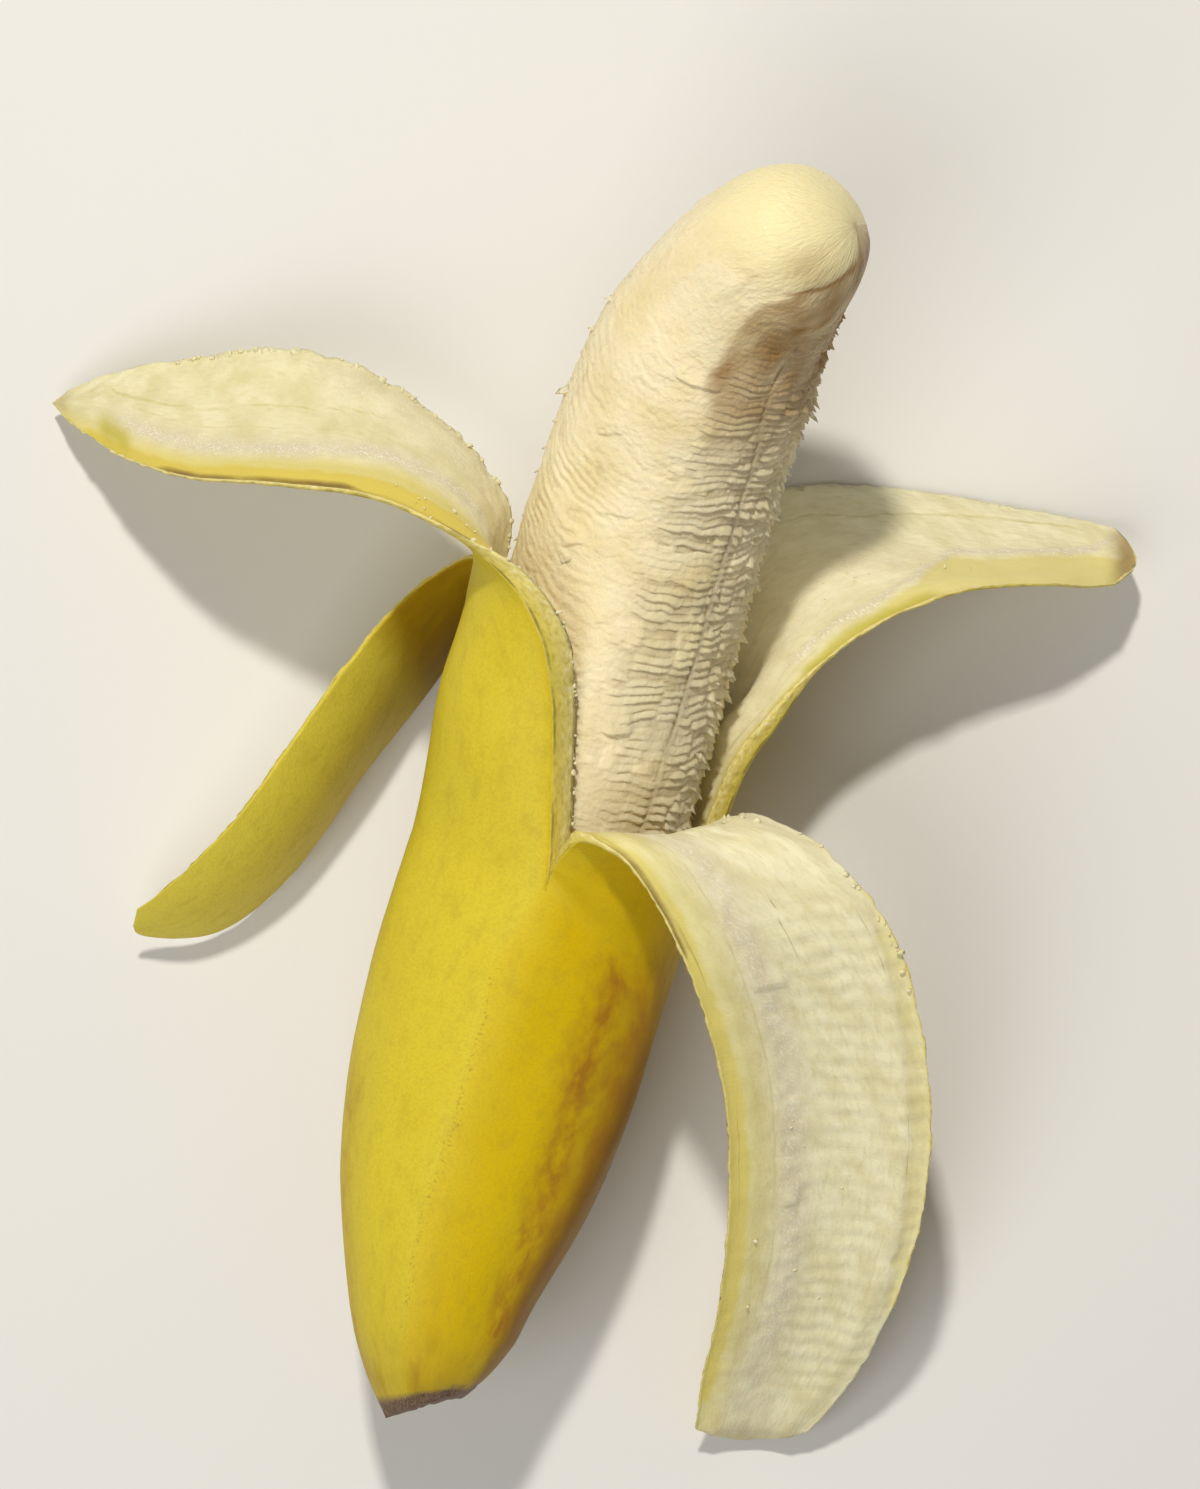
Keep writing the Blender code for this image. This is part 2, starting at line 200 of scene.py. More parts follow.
@dataclass(frozen=True)
class Fruit:
    """The form of the fruit before it was peeled: its bent middle line and its girth along it."""

    axis: tuple[Point, ...] = (
        (-10.6, -53.3, 25.2), (-8, -34.2, 22.7), (-2.2, -11, 19.4), (4.8, 16, 19.4), (12.5, 43, 23),
        (20.7, 72, 32.3), (28.3, 90.7, 43.5), (35.7, 99.5, 54), (44.9, 102.4, 61.3),
    )
    skin_girth: tuple[Pair, ...] = (
        (0, 5), (4, 7.7), (8, 9.6), (18, 12.9), (30, 16.6), (43, 18.9), (57, 19.7), (82, 19.1),
        (110, 18.8),
    )
    flesh_girth: tuple[Pair, ...] = (
        (11, 7), (18, 10), (30, 13.3), (43, 15.5), (57, 16.6), (82, 16.4), (120, 15.9), (140, 15.4),
        (152, 14.6), (162, 12.7), (180, 10),
    )
    foot: float = 12.0  # distance at which the flesh starts
    foot_dome: float = 10.0  # length of its rounded foot
    tip_dome: float = 10.2  # and of its rounded tip
    clearance: float = 0.4  # between the flesh and the skin round it
    stub_slant: float = 4.0  # how much shorter the fruit is on the right of its slanted stub
    stub_reach: float = 12.0  # length over which the slant fades out
    ridges: int = 5  # blunt corners round the skin
    ridge_height: float = 0.02  # of the girth
    ridge_sharpness: float = 0.35  # share of the wave of twice the pitch that sharpens the corners
    ridge_bearing: float = 90.0  # of the ridge at which the front strips part
    ridge_part: float = 75.0  # the distance at which they part
    ridge_twist: float = 0.3  # degrees that the ridges wind for each millimetre

    @cached_property
    def course(self) -> Course:
        """The middle line."""
        return Course(self.axis)

    @property
    def length(self) -> float:
        """From the stub to the bared tip."""
        return self.course.length

    def around(self, bearing: Array, distance: Array, radius: Array) -> Array:
        """Points round the middle line.

        Args:
            bearing: Where round the fruit.
            distance: How far from the stub.
            radius: How far from the middle line.

        Returns:
            The points.
        """
        out = self.outwards(bearing, distance)
        return self.course.at(distance) + np.asarray(radius)[..., None] * out

    def outwards(self, bearing: Array, distance: Array) -> Array:
        """Directions that point away from the middle line."""
        heading = self.course.heading(distance)
        right = unit(np.array([1.0, 0, 0]) - heading[..., :1] * heading)
        up = np.cross(right, heading)
        angle = np.radians(bearing)[..., None]
        return np.cos(angle) * right + np.sin(angle) * up

    def ridge_turn(self, bearing: Array, distance: Array) -> Array:
        """Degrees from the ridge at which the front strips part, which winds round the fruit."""
        return bearing_gap(bearing, self.ridge_bearing + self.ridge_twist * (self.ridge_part - distance))

    def skin_radius(self, bearing: Array, distance: Array) -> Array:
        """Radius of the skin's outside, with its blunt ridges."""
        turn = np.radians(self.ridges * self.ridge_turn(bearing, distance))
        corner = np.cos(turn) + self.ridge_sharpness * np.cos(2 * turn)
        return curve(self.skin_girth, distance) * (1 + self.ridge_height * corner)

    def slant(self, bearing: Array, height: Array) -> Array:
        """How far the slanted stub shifts the skin's outside along the fruit."""
        share = (1 + np.cos(np.radians(bearing))) / 2
        return self.stub_slant * share * np.clip(1 - height / self.stub_reach, 0, 1)

    def flesh_radius(self, distance: Array) -> Array:
        """Radius of the flesh without its relief: a long body between two domes."""
        foot = np.clip((self.foot + self.foot_dome - distance) / self.foot_dome, 0, 1)
        tip = np.clip((distance - self.length + self.tip_dome) / self.tip_dome, 0, 1)
        return curve(self.flesh_girth, distance) * np.sqrt(1 - foot**2) * np.sqrt(1 - tip**2)


FRUIT = Fruit()


class Edge(Enum):
    """One of a strip's two torn edges."""

    FIRST = 0
    SECOND = 1


FIRST, SECOND = Edge


@dataclass(frozen=True)
class Line:
    """A narrow mark that runs along a strip."""

    edge: Edge  # from which its place is measured
    course: tuple[Pair, ...]  # millimetres past the tear, and millimetres from the edge there
    width: float
    strength: float = 1.0


@dataclass(frozen=True)
class Band:
    """A stretch along a torn edge where the pith has come away from the skin."""

    edge: Edge
    reach: tuple[Pair, ...]  # millimetres past the tear, and how far in from the edge it goes there
    depth: float  # how far the skin's bare inside lies below the pith
    fade: float  # how soft its border is
    tint: float = 1.0  # how yellow it is


@dataclass(frozen=True)
class Prints:
    """Fine waves across the pith, where the flesh pressed on it."""

    across: Pair  # shares of the strip's width between which they show
    along: Pair
    pitch: float
    slant: float  # how far they run on along the strip for each millimetre across it
    depth: float


@dataclass(frozen=True)
class Flap:
    """A half-loose scrap of pith, whose free end stands off towards the strip's tip."""

    sides: Pair  # millimetres from the first edge between which it lies
    along: Pair  # millimetres past the tear of its root and its free end
    height: float


@dataclass(frozen=True)
class Strip:
    """A torn strip of skin, from edge to edge.

    Its lips say how far its pith reaches past the rind at each edge, by the way past the tear.
    """

    name: str
    bearings: Pair  # of its two edges on the cup
    tears: Pair  # how far from the stub each edge is still whole
    bend: float  # how far past the tear it folds back
    ribs: tuple[tuple[Point, Point], ...]  # places of its two edges, from the cup to the tip
    rows: int  # rows of its mesh
    columns: int
    rag: tuple[tuple[Pair, ...], tuple[Pair, ...]]  # how ragged each edge is, by the way past the tear
    bands: tuple[Band, ...] = ()
    stains: tuple[Line, ...] = ()  # rough grey-beige patches
    prints: tuple[Prints, ...] = ()
    veins: tuple[Line, ...] = ()  # thin yellow-green lines
    scars: tuple[Line, ...] = ()  # thin brown lines
    shades: tuple[Line, ...] = ()  # olive patches
    tip: Pair = (5.5, 0.3)  # how long its brown tip is, and how brown
    lips: tuple[tuple[Pair, ...], tuple[Pair, ...]] = (((0, 0), (10, 0.5)), ((0, 0), (10, 0.5)))
    plump: tuple[Pair, ...] = ((0, 0), (1, 0))  # extra pith beside its second edge, by the way past the tear
    flaps: tuple[Flap, ...] = ()
    # Partly the pith's own damp tone and partly painted shade: high on the lit left strip, low on the right
    # and front strips, which lie more in shade
    damp: float = 0.3  # how much darker its pith is


LEFT = Strip(
    "left", (90, 180), (75, 77), 42,
    (
        ((6.5, 43, 44.5), (-8, 46, 27)), ((4, 53.5, 48), (-3.5, 57.5, 27.5)),
        ((-1.8, 60.8, 49), (-1, 69, 25.5)), ((-15, 68.4, 45), (-12, 82.4, 23.5)),
        ((-29, 71, 37.5), (-27, 90, 18.5)), ((-43.5, 73, 26), (-42.5, 89.5, 12.5)),
        ((-54, 77.5, 14), (-53.5, 88, 8)), ((-63, 84, 3), (-63, 85, 2.5)),
    ),
    rows=232, columns=44,
    rag=(
        ((0, 0.1), (50, 0.2), (120, 0.25)),
        ((0, 0.3), (30, 0.5), (44, 1.2), (76, 1.1), (88, 0.4), (120, 0.3)),
    ),
    bands=(
        Band(
            FIRST, ((8, 1.5), (36, 3.5), (47, 8.5), (56, 8), (77, 5.6), (103, 3.6), (117, 1.5)),
            0.2, 3.5, 0.9,
        ),
        Band(FIRST, ((36, 4.0), (60, 3.8), (95, 2.6), (112, 1.4)), 0.1, 2.5, 1.6),
    ),
    stains=(
        Line(FIRST, ((34, 10), (47, 14), (56, 11.3), (77, 8.2), (103, 5.6)), 2.1, 1.0),
        Line(SECOND, ((30, 3), (50, 5), (70, 4)), 4.0, 0.4),
    ),
    prints=(Prints((0.66, 1.05), (44, 112), 1.5, 0.9, 0.1),),
    veins=(
        Line(FIRST, ((58, 15), (78, 13.4), (104, 9)), 0.3, 0.55),
        Line(FIRST, ((66, 19), (84, 17), (108, 9.6)), 0.35, 0.7),
    ),
    scars=(
        Line(FIRST, ((48, 1.0), (56, 0.6), (72, 0.5)), 0.22, 0.8),
        Line(FIRST, ((68, 0.9), (80, 0.7), (96, 0.6)), 0.5, 1.0),
    ),
    shades=(Line(FIRST, ((106, 2.8), (109, 3.0)), 1.9, 0.75),),
    lips=(((0, 0), (5, 2.8), (30, 3.5), (44, 2.0), (60, 0.4)), ((0, 0), (10, 0.8), (60, 0.6), (120, 0.3))),
    damp=0.28,
)
BACK_LEFT = Strip(
    "back_left", (180, 266), (77, 70), 38,
    (
        ((-6, 48, 21.5), (10.5, 48, 3)), ((-3.5, 58, 22.5), (9, 58, 2)),
        ((-4, 62, 23), (2, 58.5, 1)), ((-9, 60, 23.5), (-5, 52.5, 0.6)),
        ((-16, 54, 24), (-11, 44.5, 0.6)), ((-25, 42.5, 24), (-20, 33, 0.6)),
        ((-36.3, 27.2, 20.5), (-31, 18, 0.8)), ((-45.9, 18, 14.5), (-40.5, 11, 1.5)),
        ((-53, 13, 7), (-49.5, 10, 3)),
    ),
    rows=150, columns=34,
    rag=(((0, 0.15), (120, 0.15)), ((0, 0.15), (120, 0.2))),
    bands=(Band(SECOND, ((15, 1), (40, 3.5), (100, 3)), 0.3, 2.0, 0.8),),
    stains=(Line(FIRST, ((20, 12), (80, 10)), 4.0, 0.5),),
    prints=(Prints((0.1, 0.9), (15, 100), 2.2, 0.1, 0.08),),
    veins=(
        Line(FIRST, ((10, 8), (100, 7)), 0.3, 0.5), Line(FIRST, ((10, 15), (100, 13)), 0.3, 0.5),
    ),
    lips=(((0, 0), (10, -0.5)), ((0, 0), (10, -0.3))),
)
RIGHT = Strip(
    "right", (266, 356), (70, 52), 54,
    (
        ((9.5, 31, 1.2), (28, 21.5, 20.5)), ((14.5, 49.5, 3), (33, 34.5, 23.5)),
        ((19.5, 58.5, 3), (37, 40, 25)), ((27, 66.2, 2.5), (42, 47, 26)),
        ((38.5, 71.9, 1), (49, 52.5, 26.5)), ((52, 72.4, 0.8), (60.5, 57.3, 25.5)),
        ((68.5, 69.9, 1), (72.5, 58.5, 21.5)), ((81, 67.5, 2), (80, 58.5, 15.5)),
        ((87, 65.7, 6), (86.3, 59.6, 10.5)),
    ),
    rows=200, columns=48,
    rag=(((0, 0.2), (120, 0.3)), ((0, 0.1), (120, 0.15))),
    bands=(
        Band(
            SECOND,
            (
                (20, 1.5), (50, 1.3), (63, 1.2), (71, 1.4), (78, 4.4), (83, 10), (87, 13), (97, 12),
                (107, 9.5), (111, 5),
            ),
            0.35, 0.9, 0.8,
        ),
    ),
    stains=(
        Line(
            SECOND, ((60, 3), (71, 2.8), (78, 6), (83, 11), (87, 14.4), (97, 13.2), (107, 10.6)),
            0.9, 1.2,
        ),
        Line(SECOND, ((24, 6), (50, 7), (66, 10), (78, 14)), 4.5, 0.45),
    ),
    prints=(Prints((-0.05, 0.34), (62, 108), 1.9, -0.35, 0.11),),
    veins=(
        Line(FIRST, ((62, 6.0), (70, 6.4), (77, 7.6), (94, 3.6), (104, 2.4)), 0.35, 0.8),
        Line(SECOND, ((18, 2.4), (40, 2.2), (60, 1.9)), 0.25, 0.9),
    ),
    shades=(Line(SECOND, ((58, 0.4), (66, 0.8), (78, 0.8)), 1.0, 0.8),),
    tip=(5.5, 0.9),
    lips=(((0, 0), (10, 0.4)), ((0, 0), (8, 1.0), (50, 0.8), (70, 0.3))),
    plump=((4, 0), (14, 1.8), (24, 3.6), (40, 3.6), (52, 1.4), (62, 0)),
    damp=0.02,
)
FRONT = Strip(
    "front", (-4, 90), (52, 75), 24,
    (
        ((25.5, 14.5, 26), (6.8, 21.5, 41.3)), ((28, 21.5, 32), (8.3, 23.2, 43.7)),
        ((32, 26.5, 37.5), (10.5, 24.5, 46.5)), ((38.5, 25, 41), (16, 22, 48.5)),
        ((45.5, 19.5, 42), (21, 15, 47)), ((51.5, 11, 40.5), (24.5, 7.5, 44.5)),
        ((56, -7, 34), (29, -8, 36.5)), ((56, -23.5, 26.5), (30, -23.5, 28)),
        ((52.5, -38, 18), (29, -38, 19)), ((47, -50, 9.5), (27, -49.5, 10.5)),
        ((39.5, -60, 2.5), (26, -59.5, 3)),
    ),
    rows=212, columns=50,
    rag=(((0, 0.2), (26, 0.9), (48, 0.6), (60, 0.35), (134, 0.3)), ((0, 0.1), (40, 0.15), (134, 0.25))),
    bands=(
        Band(SECOND, ((6, 3), (24, 5), (50, 5.5), (90, 5.8), (110, 5.2), (130, 3)), 0.15, 4.0, 0.55),
        Band(SECOND, ((20, 2.0), (60, 2.6), (100, 2.8), (125, 2)), 0.05, 2.0, 1.0),
        Band(FIRST, ((46, 0.6), (52, 2.4), (90, 2.4), (106, 1.0)), 0.25, 0.6, 0.35),
    ),
    stains=(
        Line(SECOND, ((30, 8), (50, 8.4), (66, 9), (90, 9), (112, 8.4)), 2.3, 0.8),
        Line(SECOND, ((8, 8), (34, 9)), 3.0, 0.5),
        Line(SECOND, ((112, 7), (128, 7)), 4.5, 0.5),
    ),
    prints=(Prints((-0.05, 0.5), (48, 122), 2.7, 0.05, 0.11),),
    veins=(
        Line(FIRST, ((44, 11.5), (59, 10.4), (75, 11.2), (98, 9.2), (120, 7.5)), 0.3, 0.22),
        Line(SECOND, ((20, 5.6), (60, 6.2), (112, 6.0)), 0.3, 0.5),
        Line(FIRST, ((50, 4.5), (110, 4.0)), 0.25, 0.35),
    ),
    scars=(
        Line(FIRST, ((48, 2.5), (60, 2.7), (100, 2.6)), 0.16, 0.35),
        Line(SECOND, ((30, 1.0), (60, 1.4), (110, 1.2)), 0.16, 0.35),
        Line(FIRST, ((44, 11.6), (47, 12.8), (51, 13.3)), 0.22, 0.6),
        Line(SECOND, ((33, 0.4), (48, 0.3)), 0.4, 0.9),
    ),
    tip=(7.0, 0.25),
    lips=(((0, 0), (10, 0.9), (60, 0.4)), ((0, 0), (8, 0.7), (60, 0.3))),
    flaps=(
        Flap((15.2, 22.2), (49, 56.6), 0.4), Flap((17, 20), (86, 90.5), 0.4), Flap((6, 12), (26, 31), 0.45),
        Flap((3, 8), (30, 35), 0.4),
    ),
    damp=0.05,
)
STRIPS = (LEFT, BACK_LEFT, RIGHT, FRONT)


class Gore:
    """A quarter of the skin: its share of the cup, and the strip torn from it."""

    STRIP_EASE = 16.0  # length over which a strip leaves the cup's form
    BEND_SPAN = 16.0  # length over which its section flattens at its bend
    ARCHES = (90, 34, 52, 36)  # degrees across its section: on the fruit, at the bend, along it, at its tip
    TEAR_GAP = 0.03  # share of its width that its tears take just above the cup
    TEAR_START, TEAR_END = 5.0, 25.0  # where they have opened, and where it has its full width again
    TIP_ROUNDING = 3.0  # how far the corners of its tip fall back
    TIP_SHARPNESS = 8  # how close to the tip they do so
    BASE_WALL, TIP_WALL = 2.8, 1.3  # its thickness
    THIN_START, THIN_EASE = -4.0, 12.0  # from its bend, where its edges start to be thinner than its middle
    THIN_EDGE, THIN_REACH = 0.38, 3.4  # share of its thickness at an edge, and how far in that goes
    PIT_REACH = 40.0  # over which the skin's thick foot thins to its even wall
    NOTCH, NICK = 3.1, 1.3  # length of the notches and of the finer nicks in a torn edge
    RAG_SHARE = 0.55  # of the raggedness that the notches take, and the nicks as well
    RAG_SEEDS = 7  # how far apart the seeds of the two edges are
    RAG_EASE = 8.0  # how far past the tear an edge is as ragged as the rest
    CROWDING = 0.25  # how much closer together the columns of its mesh lie at its edges
    LIP_REACH = 5.0  # how far in from an edge its pith is drawn out
    PLUMP_PLACE, PLUMP_SPREAD = 6.5, 4.0  # extra pith: its place from the second edge, and its spread

    def __init__(self, strip: Strip, fruit: Fruit) -> None:
        """Sets out the gore.

        Args:
            strip: The strip torn from it.
            fruit: The fruit it was part of.
        """
        self.strip = strip
        self.fruit = fruit
        below = self.edges_on_cup(-self.STRIP_EASE)
        stations = [below, self.edges_on_cup(0)] + [np.array(rib, float) for rib in strip.ribs]
        self.course = Course([np.concatenate([edges.mean(axis=0), *edges]) for edges in stations])
        self.start = self.course.marks[1]
        self.length = self.course.length - self.start

    def edges_on_cup(self, past_tear: float) -> Array:
        """Places of the two edges on the cup, at a distance past their tears."""
        bearing = np.array(self.strip.bearings, float)
        distance = np.array(self.strip.tears, float) + past_tear
        return self.fruit.around(bearing, distance, self.fruit.skin_radius(bearing, distance))

    def arch(self, distance: Array) -> Array:
        """Degrees across the strip's section: as on the fruit up to its bend, and flatter past it."""
        whole, bent, along, tip = self.ARCHES
        start, end = self.strip.bend - self.BEND_SPAN / 2, self.strip.bend + self.BEND_SPAN / 2
        settled = end + 2 * self.BEND_SPAN
        knots = [(0, whole), (start, whole), (end, bent), (settled, along), (self.length, tip)]
        return curve(knots, distance)

    def width(self, distance: Array) -> Array:
        """How wide the strip is along its section."""
        row = self.course.at(self.start + distance)
        chord = np.linalg.norm(row[..., 6:] - row[..., 3:6], axis=-1)
        half = np.radians(self.arch(distance)) / 2
        return chord * half / np.sin(half)

    def ragged(self, across: Array, distance: Array) -> Array:
        """Shares across the strip, with its edges notched and toothed where it tore unevenly."""
        width = self.width(distance)
        bites = []
        for edge, knots in zip(Edge, self.strip.rag):
            seed = self.RAG_SEEDS * edge.value + len(self.strip.name)
            notches = self.RAG_SHARE * noise(distance / self.NOTCH, seed=seed)
            nicks = self.RAG_SHARE * noise(distance / self.NICK, seed=seed + 1)
            depth = np.interp(distance, *zip(*knots))
            bites.append(depth * (notches + nicks) * ease(distance / self.RAG_EASE) / width)
        return bites[0] + across * (1 - bites[0] - bites[1])

    def ribbon(self, across: Array, distance: Array) -> tuple[Array, Array]:
        """Reads the strip's outside.

        Args:
            across: Shares from its first edge to its second.
            distance: How far past the tear.

        Returns:
            Points, and the directions that face outwards there.
        """
        row = self.course.at(self.start + distance)
        middle, first, second = row[..., :3], row[..., 3:6], row[..., 6:]
        width = np.linalg.norm(second - first, axis=-1, keepdims=True)
        side = (second - first) / width
        outwards = unit(np.cross(self.course.heading(self.start + distance), side))
        arch = np.radians(self.arch(distance))[..., None]
        radius = width / 2 / np.sin(arch / 2)
        angle = arch * (across - 0.5)[..., None]
        facing = np.sin(angle) * side + np.cos(angle) * outwards
        return middle + radius * (facing - np.cos(arch / 2) * outwards), facing

    def on_strip(self, across: Array, reach: Array) -> tuple[Array, Array, Array]:
        """Reads both faces of the strip.

        Args:
            across: Shares from its first edge to its second.
            reach: Shares of its length from the tear.

        Returns:
            Points of its outside, points of its inside, and distances past the tear.
        """
        corner = self.TIP_ROUNDING * (2 * across - 1) ** 2 * reach**self.TIP_SHARPNESS
        distance = reach * self.length - corner
        torn = ease(distance / self.TEAR_START)
        torn = torn * ease((self.TEAR_END - distance) / (self.TEAR_END - self.TEAR_START))
        drawn = 0.5 + (across - 0.5) * (1 - self.TEAR_GAP * torn)
        points, facing = self.ribbon(self.ragged(drawn, distance), distance)
        reaching, _ = self.ribbon(self.ragged(drawn + self.spread(across, distance), distance), distance)
        root, _ = self.ribbon(drawn, np.zeros_like(distance))
        cup_outside, cup_inside = self.on_cup(across, np.ones_like(distance))
        left_cup = ease(distance / self.STRIP_EASE)[..., None]
        rim = np.minimum(np.minimum(across, 1 - across) * self.width(distance), self.length - distance)
        thin = ease((distance - self.strip.bend - self.THIN_START) / self.THIN_EASE)
        thin = thin * (1 - self.THIN_EDGE) * (1 - ease(rim / self.THIN_REACH))
        bulge = hump(((1 - across) * self.width(distance) - self.PLUMP_PLACE) / self.PLUMP_SPREAD)
        bulge = bulge * np.interp(distance, *zip(*self.strip.plump))
        thickness = (mix((self.BASE_WALL, self.TIP_WALL), reach) * (1 - thin) + bulge)[..., None]
        outside = points + (cup_outside - root) * (1 - left_cup)
        inside = outside + reaching - points + mix((cup_inside - cup_outside, -facing * thickness), left_cup)
        return outside, inside, distance

    def spread(self, across: Array, distance: Array) -> Array:
        """How much further out than the rind the pith lies, as shares of the width."""
        width = self.width(distance)
        total = np.zeros_like(width)
        for way, side, knots in zip((-1, 1), (across, 1 - across), self.strip.lips):
            reach = np.interp(distance, *zip(*knots))
            total = total + way * reach * (1 - ease(side * width / self.LIP_REACH))
        return total / width

    def on_cup(self, across: Array, share: Array) -> tuple[Array, Array]:
        """Points of the cup's outside and inside, at shares of the way from the stub to the tear."""
        bearing = mix(self.strip.bearings, across)
        height = mix(self.strip.tears, across) * share
        fruit = self.fruit
        level = height + fruit.slant(bearing, height)
        outside = fruit.around(bearing, level, fruit.skin_radius(bearing, height))
        pit = height + (fruit.foot - fruit.clearance) * np.clip(1 - height / self.PIT_REACH, 0, 1)
        inside = fruit.around(bearing, pit, fruit.flesh_radius(pit) + fruit.clearance)
        return outside, inside


@dataclass(frozen=True)
class Grain:
    """Smooth unevenness: its height, how far apart its hills lie, and its seed."""

    height: float
    pitches: float | tuple[float, ...]  # the same along all coordinates, or one for each that it heeds
    seed: int

    def at(self, *place: Array) -> Array:
        """Its height at each place."""
        pitches = self.pitches if isinstance(self.pitches, tuple) else (self.pitches,) * len(place)
        steps = (axis / pitch for axis, pitch in zip(place, pitches))
        return self.height * noise(*steps, seed=self.seed)


@dataclass(frozen=True)
class Fade:
    """A mark that has gone at one place, and is at its full strength a way past it, or before it."""

    strength: float
    gone: float
    way: float

    def at(self, place: Array) -> Array:
        """How strong it is at each place."""
        return self.strength * ease((place - self.gone) / self.way)


def uneven(grains: Sequence[Grain], *place: Array) -> Array:
    """The sum of several kinds of unevenness at each place."""
    return sum(grain.at(*place) for grain in grains)


@dataclass
class Fields:
    """What each point of the peel's mesh knows of its place, as arrays."""

    spot: Array  # where it is
    straight: Array  # where it would be on a straight, unpeeled fruit
    gore: Array  # the number of its strip
    torn: Array  # millimetres from the strip's first edge, millimetres past the tear, the width there
    depth: Array  # 0 on the skin's outside, 1 on the pith

    @property
    def past_tear(self) -> Array:
        """Millimetres past the tear, below 0 on the cup."""
        return self.torn[:, 1]

    @property
    def bearing(self) -> Array:
        """Bearing on the fruit."""
        return np.degrees(np.arctan2(self.straight[:, 1], self.straight[:, 0]))

    @property
    def height(self) -> Array:
        """Distance from the stub, along the skin."""
        return self.straight[:, 2]


def srgb(code: str, alpha: float = 1.0) -> tuple[float, float, float, float]:
    """Turns a hex sRGB colour to linear.

    Args:
        code: The colour, such as "#F0E0A0".
        alpha: Its opacity.

    Returns:
        Red, green, blue and alpha.
    """
    parts = [int(code[start:start + 2], 16) / 255 for start in (1, 3, 5)]
    linear = [part / 12.92 if part <= 0.04045 else ((part + 0.055) / 1.055) ** 2.4 for part in parts]
    return (*linear, alpha)


MIX_SHARE, MIX_BELOW, MIX_ABOVE, MIX_RESULT = 0, 6, 7, 2  # a colour Mix node's sockets


def add_node(
    tree: Tree, kind: str, inputs: Mapping | Sequence, output: str | int = 0, **settings: object
) -> Socket | None:
    """Adds a shader node with its settings and links.

    Args:
        tree: The material's tree.
        kind: The node's type.
        inputs: Values or sockets for its inputs, by name or number, or in their order.
        output: The output that is wanted.
        **settings: The node's own properties.

    Returns:
        That output, or None for a node without outputs.
    """
    node = tree.nodes.new("ShaderNode" + kind)
    for name, value in settings.items():
        setattr(node, name, value)
    for name, value in inputs.items() if isinstance(inputs, Mapping) else enumerate(inputs):
        if isinstance(value, bpy.types.NodeSocket):
            tree.links.new(value, node.inputs[name])
        else:
            node.inputs[name].default_value = value
    return node.outputs[output] if node.outputs else None


def add_nodes(tree: Tree, kind: str, rows: Sequence, **settings: object) -> list[Socket]:
    """Adds a node for each row of inputs and returns their outputs."""
    return [add_node(tree, kind, row, **settings) for row in rows]


@dataclass(frozen=True)
class Finish:
    """A finish: each kind builds its own shader."""

    name: str

    def make(self) -> bpy.types.Material:
        """Builds the material."""
        material = bpy.data.materials.new(self.name)
        material.use_nodes = True
        tree = material.node_tree
        tree.nodes.clear()
        add_node(tree, "OutputMaterial", {"Surface": self.shader(tree)})
        return material

    def shader(self, tree: Tree) -> Socket:
        """Builds the shader and returns its output."""
        raise NotImplementedError


@dataclass(frozen=True)
class Tissue(Finish):
    """Fresh plant tissue: light goes a little way in, and fine relief breaks up its gloss.

    Its patterns are laid out in millimetres on the straight, unpeeled fruit.
    """

    roughness: float = 0.5
    ior: float = 1.4
    specular: float = 0.5
    relief_mm: float = 0.1  # how deep the finest relief looks
    relief_strength: float = 0.6
    glow: float = 0.2  # share of the light that goes in
    glow_mm: float = 1.0  # and how far
    glow_reach: Point = (1.0, 0.8, 0.4)  # of its red, green and blue, as shares of that

    @staticmethod
    def marks(tree: Tree, name: str) -> list[Socket]:
        """The three numbers that a mesh's points keep under a name."""
        whole = add_node(tree, "Attribute", {}, "Vector", attribute_name=name)
        return list(add_node(tree, "SeparateXYZ", (whole,)).node.outputs)

    @staticmethod
    def layered(tree: Tree, base: str, layers: Sequence[tuple[Socket, str | Socket]]) -> Socket:
        """Lays colours over one another.

        Args:
            tree: The material's tree.
            base: The lowest colour.
            layers: How much of each colour shows, and the colour, from the lowest to the top.

        Returns:
            The colour that they give together.
        """
        colour = srgb(base)
        for share, tone in layers:
            tone = srgb(tone) if isinstance(tone, str) else tone
            inputs = {MIX_SHARE: share, MIX_BELOW: colour, MIX_ABOVE: tone}
            colour = add_node(tree, "Mix", inputs, MIX_RESULT, data_type="RGBA")
        return colour

    def body(self, tree: Tree, colour: Socket, roughness: float | Socket, relief: Socket) -> Socket:
        """Joins a colour, a roughness and a fine relief to the shader."""
        bump = add_node(tree, "Bump", {
            "Height": relief, "Distance": self.relief_mm * MM, "Strength": self.relief_strength,
        })
        return add_node(tree, "BsdfPrincipled", {
            "Base Color": colour, "Roughness": roughness, "IOR": self.ior, "Normal": bump,
            "Specular IOR Level": self.specular, "Subsurface Weight": self.glow,
            "Subsurface Radius": self.glow_reach, "Subsurface Scale": self.glow_mm * MM,
        })


